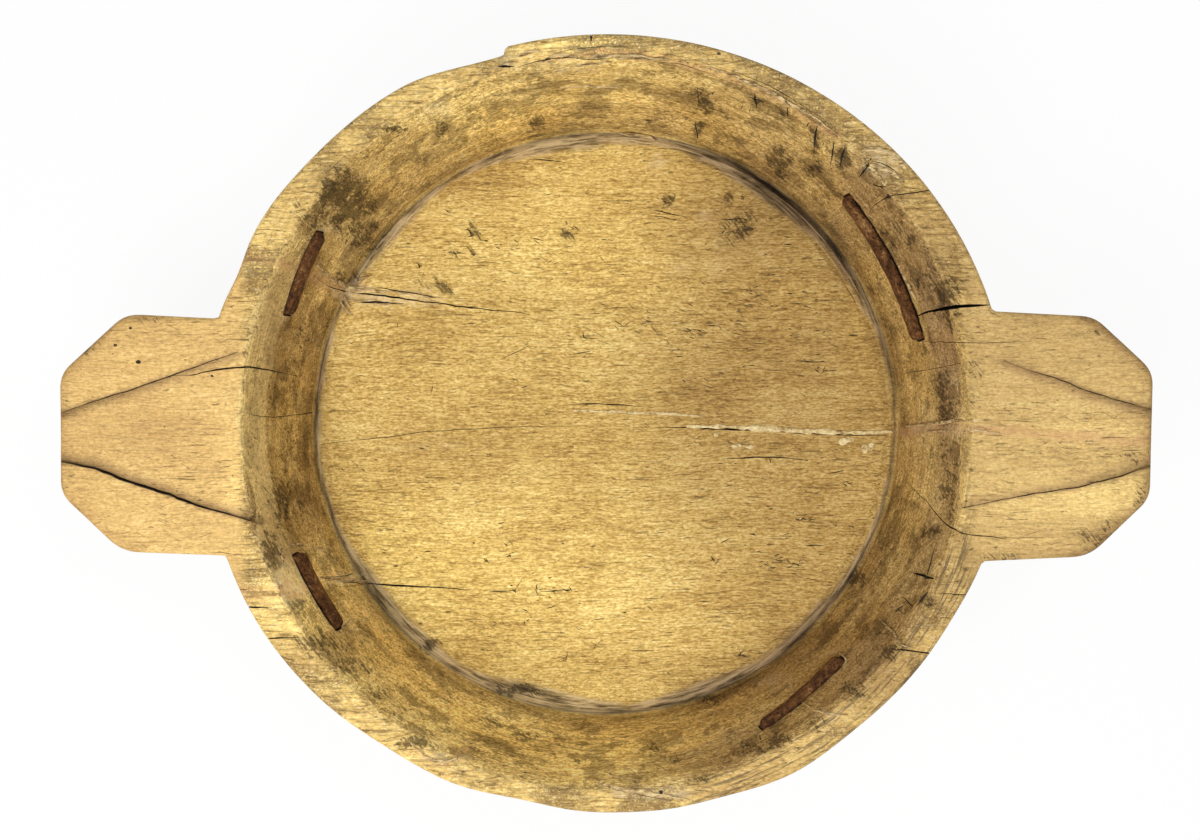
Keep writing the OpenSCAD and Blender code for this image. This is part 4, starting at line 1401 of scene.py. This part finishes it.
def wall_colour(paint, wood, colour):
    """Tool marks and blots on the wall, gold and shade at its foot, a pale band and a dusky one."""
    shade = paint.ramp(wood.marks, [(0.38, (.34, .30, .26)), (0.46, (.78, .75, .71)), (0.55, (1, 1, 1))])
    colour = paint.tint(wood.wall * 0.55 + wood.rim * 0.55, colour, shade)
    round_broad = paint.noise(wood.round_place, (4, 4, 75), 4.0, 0.6)
    broad = paint.ramp(round_broad, [(0.38, (.52, .49, .46)), (0.50, (.88, .87, .86)), (0.60, (1, 1, 1))])
    colour = paint.tint(wood.wall * 0.7, colour, broad)
    blot = paint.rise(wood.patch, 0.51, 0.58)
    colour = paint.tint(blot * (wood.wall * 0.8 + wood.outside * 0.4), colour, (.47, .44, .41))
    gold = paint.rise(paint.noise(wood.place, (13, 13, 17), 3.0), 0.40, 0.58)
    gold = gold * paint.rise(wood.lip, -15, -70)
    colour = paint.tint(gold * wood.wall * 0.7, colour, (1.0, .93, .76))
    colour = paint.tint(wood.wall, colour, (1.42, 1.51, 1.76))
    ledge = paint.rise(wood.lip + (wood.patch - 0.5) * 26, -42, -37) * wood.wall
    under = (1 - ledge) * paint.rise(wood.lip, -85, -48) * wood.wall
    colour = paint.blend(ledge * wood.khaki * 0.75, colour, (.92, .685, .29))
    colour = paint.tint(under * wood.khaki * 0.7, colour, (.60, .56, .50))
    band = paint.rise(wood.lip + (wood.patch - 0.5) * 60, -54, -46) * wood.wall
    colour = paint.tint(band * wood.dusk * 0.9, colour, (.68, .63, .76))
    foot = paint.rise(wood.lip + (wood.patch - 0.5) * 20, -84, -106) * wood.wall
    return paint.tint(foot * 0.6, colour, (.58, .53, .46))


def rough_colour(paint, wood, colour):
    """Rosy bands and pinkish painted shade beside the lug lines, and grit in the rough wood."""
    colour = paint.blend(wood.rosy_and_shade * 0.8, colour, (.60, .34, .15))
    grit = paint.ramp(wood.rough, [(0.36, (.42, .37, .32)), (0.47, (.88, .86, .83)), (0.58, (1, 1, 1))])
    share = wood.rim * 0.9 + wood.wall * 0.7 + wood.lug * 0.35 + wood.outside * 0.5
    return paint.tint(share, colour, grit)


def rim_colour(paint, wood, colour):
    """Grey weather, pale flakes and ridges on the rim, cracks, and lines turned round its lower right."""
    colour = paint.tint(wood.weather * wood.rim * 0.55, colour, (.66, .60, .54))
    colour = paint.blend((1 - wood.weather) * wood.rim * 0.35, colour, (.80, .57, .23))
    flakes = paint.rise(paint.noise(wood.grain_place, (240, 520, 520), 4.0, 0.7), 0.52, 0.62)
    colour = paint.blend(flakes * wood.rim * (1 - wood.rosy_and_shade) * 0.45, colour, (.96, .76, .42))
    relief = paint.ramp(wood.ridges, [(0.36, (.30, .26, .22)), (0.46, (.86, .83, .79)), (0.56, (1, 1, 1))])
    colour = paint.tint(wood.rim * (0.85 - 0.7 * wood.low_right), colour, relief)
    colour = paint.tint(wood.rim, colour, (1.28, 1.27, 1.14))
    colour = paint.blend(wood.cracks * 0.6, colour, (.22, .16, .085))
    turned_lines = paint.rise(wood.threads, 0.48, 0.40) * wood.rim * wood.low_right
    return paint.blend(turned_lines * 0.75, colour, (.20, .14, .07))


def line_colour(paint, wood, colour):
    """Dirt in pores, flecks, gaps and scratches."""
    colour = paint.blend(wood.pores * 0.75, colour, (.12, .066, .024))
    colour = paint.blend(wood.flecks * 0.7, colour, (.13, .08, .035))
    colour = paint.blend(wood.gaps * 0.55, colour, (.20, .125, .05))
    return paint.blend(wood.scratches * 0.5, colour, (.17, .10, .04))


def worn_colour(paint, wood, colour):
    """Torn fibres at the floor's edge, stains, dirty grooves with painted shade, scuffs, and lighter and
    darker places of the wood's own colour and of painted light and shade.
    """
    torn = paint.ramp(wood.threads, [(0.39, (.04, .03, .02)), (0.47, (.30, .21, .115)),
                                     (0.57, (.66, .485, .265))])
    colour = paint.blend(wood.fray * 0.85, colour, torn)
    cloud = paint.noise(wood.place, (170, 230, 130), 7.0, 0.75)
    scrape = paint.noise(paint.turned(wood.place, 0.9), (120, 800, 300), 3.0, 0.6)
    smut = wood.stain + (cloud - 0.5) * 2.2 + (scrape - 0.5) * 2.0 + wood.dash * 0.15
    smut = paint.rise(smut, 0.50, 0.66) * paint.rise(wood.stain, 0.04, 0.3)
    colour = paint.tint(wood.stain * 0.5, colour, (.42, .40, .37))
    colour = paint.tint(smut * 0.8, colour, (.19, .175, .16))
    # Dirty grooves with painted shade at the wall's foot, and painted shade beside the lug lines.
    colour = paint.tint(wood.grime_and_shade * (0.6 + 0.8 * cloud), colour, (.13, .115, .095))
    colour = paint.blend(wood.pale * paint.rise(cloud, 0.40, 0.58) * 0.8, colour, (.86, .69, .40))
    # Painted light and shade with the wood's own colour, as lighter and darker places.
    tone = wood.tone * 2.0
    return paint.tint(1.0, colour, paint.mixed(tone.maths("POWER", tone, 0.85), tone, tone))


def old_wood():
    """Dry golden wood: grain along the bowl, tool marks round its wall, a weathered rim and dark stains."""
    paint = Paint(bpy.data.materials.new("worn_wood"))
    wood = Wood(paint)
    colour = grain_colour(paint, wood)
    for marked in (wall_colour, rough_colour, rim_colour, line_colour, worn_colour):
        colour = marked(paint, wood, colour)
    return paint.finish(base_color=colour, roughness=0.6 + 0.3 * wood.fibre, specular_ior_level=0.22,
                        normal=paint.bump(wood.height(), 0.6, 0.0013))


def torn_wood():
    """Pale fibres torn from the wood."""
    paint = Paint(bpy.data.materials.new("torn_wood"))
    fibre = paint.noise(paint.place(), (160, 520, 520), 4.0, 0.65)
    colour = paint.ramp(fibre, [(0.36, (.17, .11, .05)), (0.47, (.45, .315, .14)), (0.6, (.78, .59, .30))])
    return paint.finish(base_color=colour, roughness=0.85, specular_ior_level=0.15,
                        normal=paint.bump(fibre, 0.8, 0.001))


def groove_wood():
    """Dirt in gashes and dents, and near-black painted shade in beetle holes, cut lines and the gaps round
    the staples.
    """
    paint = Paint(bpy.data.materials.new("groove_wood"))
    fibre = paint.noise(paint.place(), (60, 420, 420), 3.0)
    colour = paint.ramp(fibre, [(0.35, (.028, .018, .009)), (0.55, (.07, .047, .024)),
                                (0.75, (.16, .11, .055))])
    return paint.finish(base_color=colour, roughness=0.9)


def split_wood():
    """The dark inside of an open split: near-black painted shade in its depth."""
    paint = Paint(bpy.data.materials.new("split_wood"))
    fibre = paint.noise(paint.place(), (20, 420, 420), 4.0)
    colour = paint.ramp(fibre, [(0.35, (.010, .006, .003)), (0.55, (.035, .022, .011)),
                                (0.75, (.10, .065, .03))])
    return paint.finish(base_color=colour, roughness=0.9, normal=paint.bump(fibre, 0.5, 0.0006))


def forged_rust():
    """Hammered iron, rusted all over and drawn out along the bar."""
    paint = Paint(bpy.data.materials.new("forged_rust"))
    place = paint.place()
    scale = paint.noise(place, (300, 300, 420), 6.0, 0.8)
    patch = paint.noise(place, (60, 60, 60), 3.0)
    colour = paint.ramp(scale * 0.65 + patch * 0.35, [(0.38, (.026, .009, .003)), (0.46, (.110, .039, .010)),
                                                      (0.54, (.22, .092, .024)), (0.62, (.50, .28, .11))])
    pits = paint.rise(paint.noise(place, (480, 480, 480), 3.0), 0.54, 0.66)
    colour = paint.blend(pits * 0.55, colour, (.022, .010, .005))
    height = scale * 1.2 + patch * 0.5 - pits * 0.8
    return paint.finish(base_color=colour, roughness=0.8 + 0.15 * patch, specular_ior_level=0.3,
                        normal=paint.bump(height, 1.0, 0.0016))


def crack_paste():
    """Dry crumbled paste, dirty in its hollows."""
    paint = Paint(bpy.data.materials.new("crack_paste"))
    place = paint.place()
    crumb = paint.noise(place, (420, 600, 600), 5.0, 0.65)
    broad = paint.noise(place, (90, 160, 160), 3.0)
    colour = paint.ramp(crumb * 0.6 + broad * 0.4, [(0.37, (.20, .125, .05)), (0.46, (.57, .41, .17)),
                                                    (0.60, (.88, .73, .41))])
    return paint.finish(base_color=colour, roughness=0.92, normal=paint.bump(crumb, 0.8, 0.001))


def studio_paper():
    """Pale floor that the camera sees as white, with the bowl's shadow on it."""
    paint = Paint(bpy.data.materials.new("studio_paper"))
    seen = paint.node("ShaderNodeLightPath", out="Is Camera Ray")
    seen = seen + paint.node("ShaderNodeLightPath", out="Is Glossy Ray")
    seen = seen + paint.node("ShaderNodeLightPath", out="Is Transmission Ray")
    matt = paint.node("ShaderNodeBsdfDiffuse", None, {"Color": (0.9, 0.9, 0.9, 1)})
    glow = paint.node("ShaderNodeEmission", None, {"Strength": 1.0})
    mixed = paint.node("ShaderNodeMixShader", None, {0: seen * 0.92, 1: matt, 2: glow})
    paint.node("ShaderNodeOutputMaterial", None, {"Surface": mixed})
    return paint.material


# Stage

SOFTBOXES = {
    "main_softbox": ((-0.45, -0.75, 1.25), 1.0, 17.5),
    "far_softbox": ((0.8, 0.7, 1.8), 1.4, 10.0),
}


def set_stage():
    bpy.ops.mesh.primitive_plane_add(size=12.0, location=(0, 0, 0))
    floor = bpy.context.object
    floor.name = "studio_floor"
    floor.data.materials.append(studio_paper())

    world = bpy.data.worlds.new("studio_world")
    bpy.context.scene.world = world
    sky = Paint(world)
    seen = sky.node("ShaderNodeLightPath", out="Is Camera Ray")
    soft = sky.node("ShaderNodeBackground", None, {"Color": (1, 1, 1, 1), "Strength": 0.4})
    white = sky.node("ShaderNodeBackground", None, {"Color": (1, 1, 1, 1), "Strength": 1.0})
    light = sky.node("ShaderNodeMixShader", None, {0: seen, 1: soft, 2: white})
    sky.node("ShaderNodeOutputWorld", None, {"Surface": light})

    for name, (place, size, power) in SOFTBOXES.items():
        pitch = math.atan2(math.hypot(place[0], place[1]), place[2])
        yaw = math.atan2(-place[1], -place[0]) - math.pi / 2
        bpy.ops.object.light_add(type="AREA", location=place, rotation=(pitch, 0, yaw))
        lamp = bpy.context.object
        lamp.name = name
        lamp.data.size = size
        lamp.data.energy = power

    bpy.ops.object.camera_add(location=tuple(EYE * MM), rotation=(0, 0, 0))
    camera = bpy.context.object
    camera.data.sensor_width = 36.0
    camera.data.lens = 36.0 * EYE_HEIGHT / (PHOTO_WIDTH * PIXEL)
    bpy.context.scene.camera = camera
    bpy.context.scene.view_settings.view_transform = "Standard"


# The whole object

def make_bowl():
    wood = old_wood()
    piece = carve_bowl()
    piece.data.materials.append(wood)
    cut_bowl(piece, wood, torn_wood(), split_wood(), groove_wood())
    finish_shape(piece, 0, 42)
    mark_wear_and_shade(piece)
    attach(piece, "root")
    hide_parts("bowl")


bpy.ops.object.select_all(action="DESELECT")
make_bowl()
rust = forged_rust()
for staple_name in STAPLES:
    forge_staple(staple_name, rust)
lay_filler(crack_paste())
set_stage()
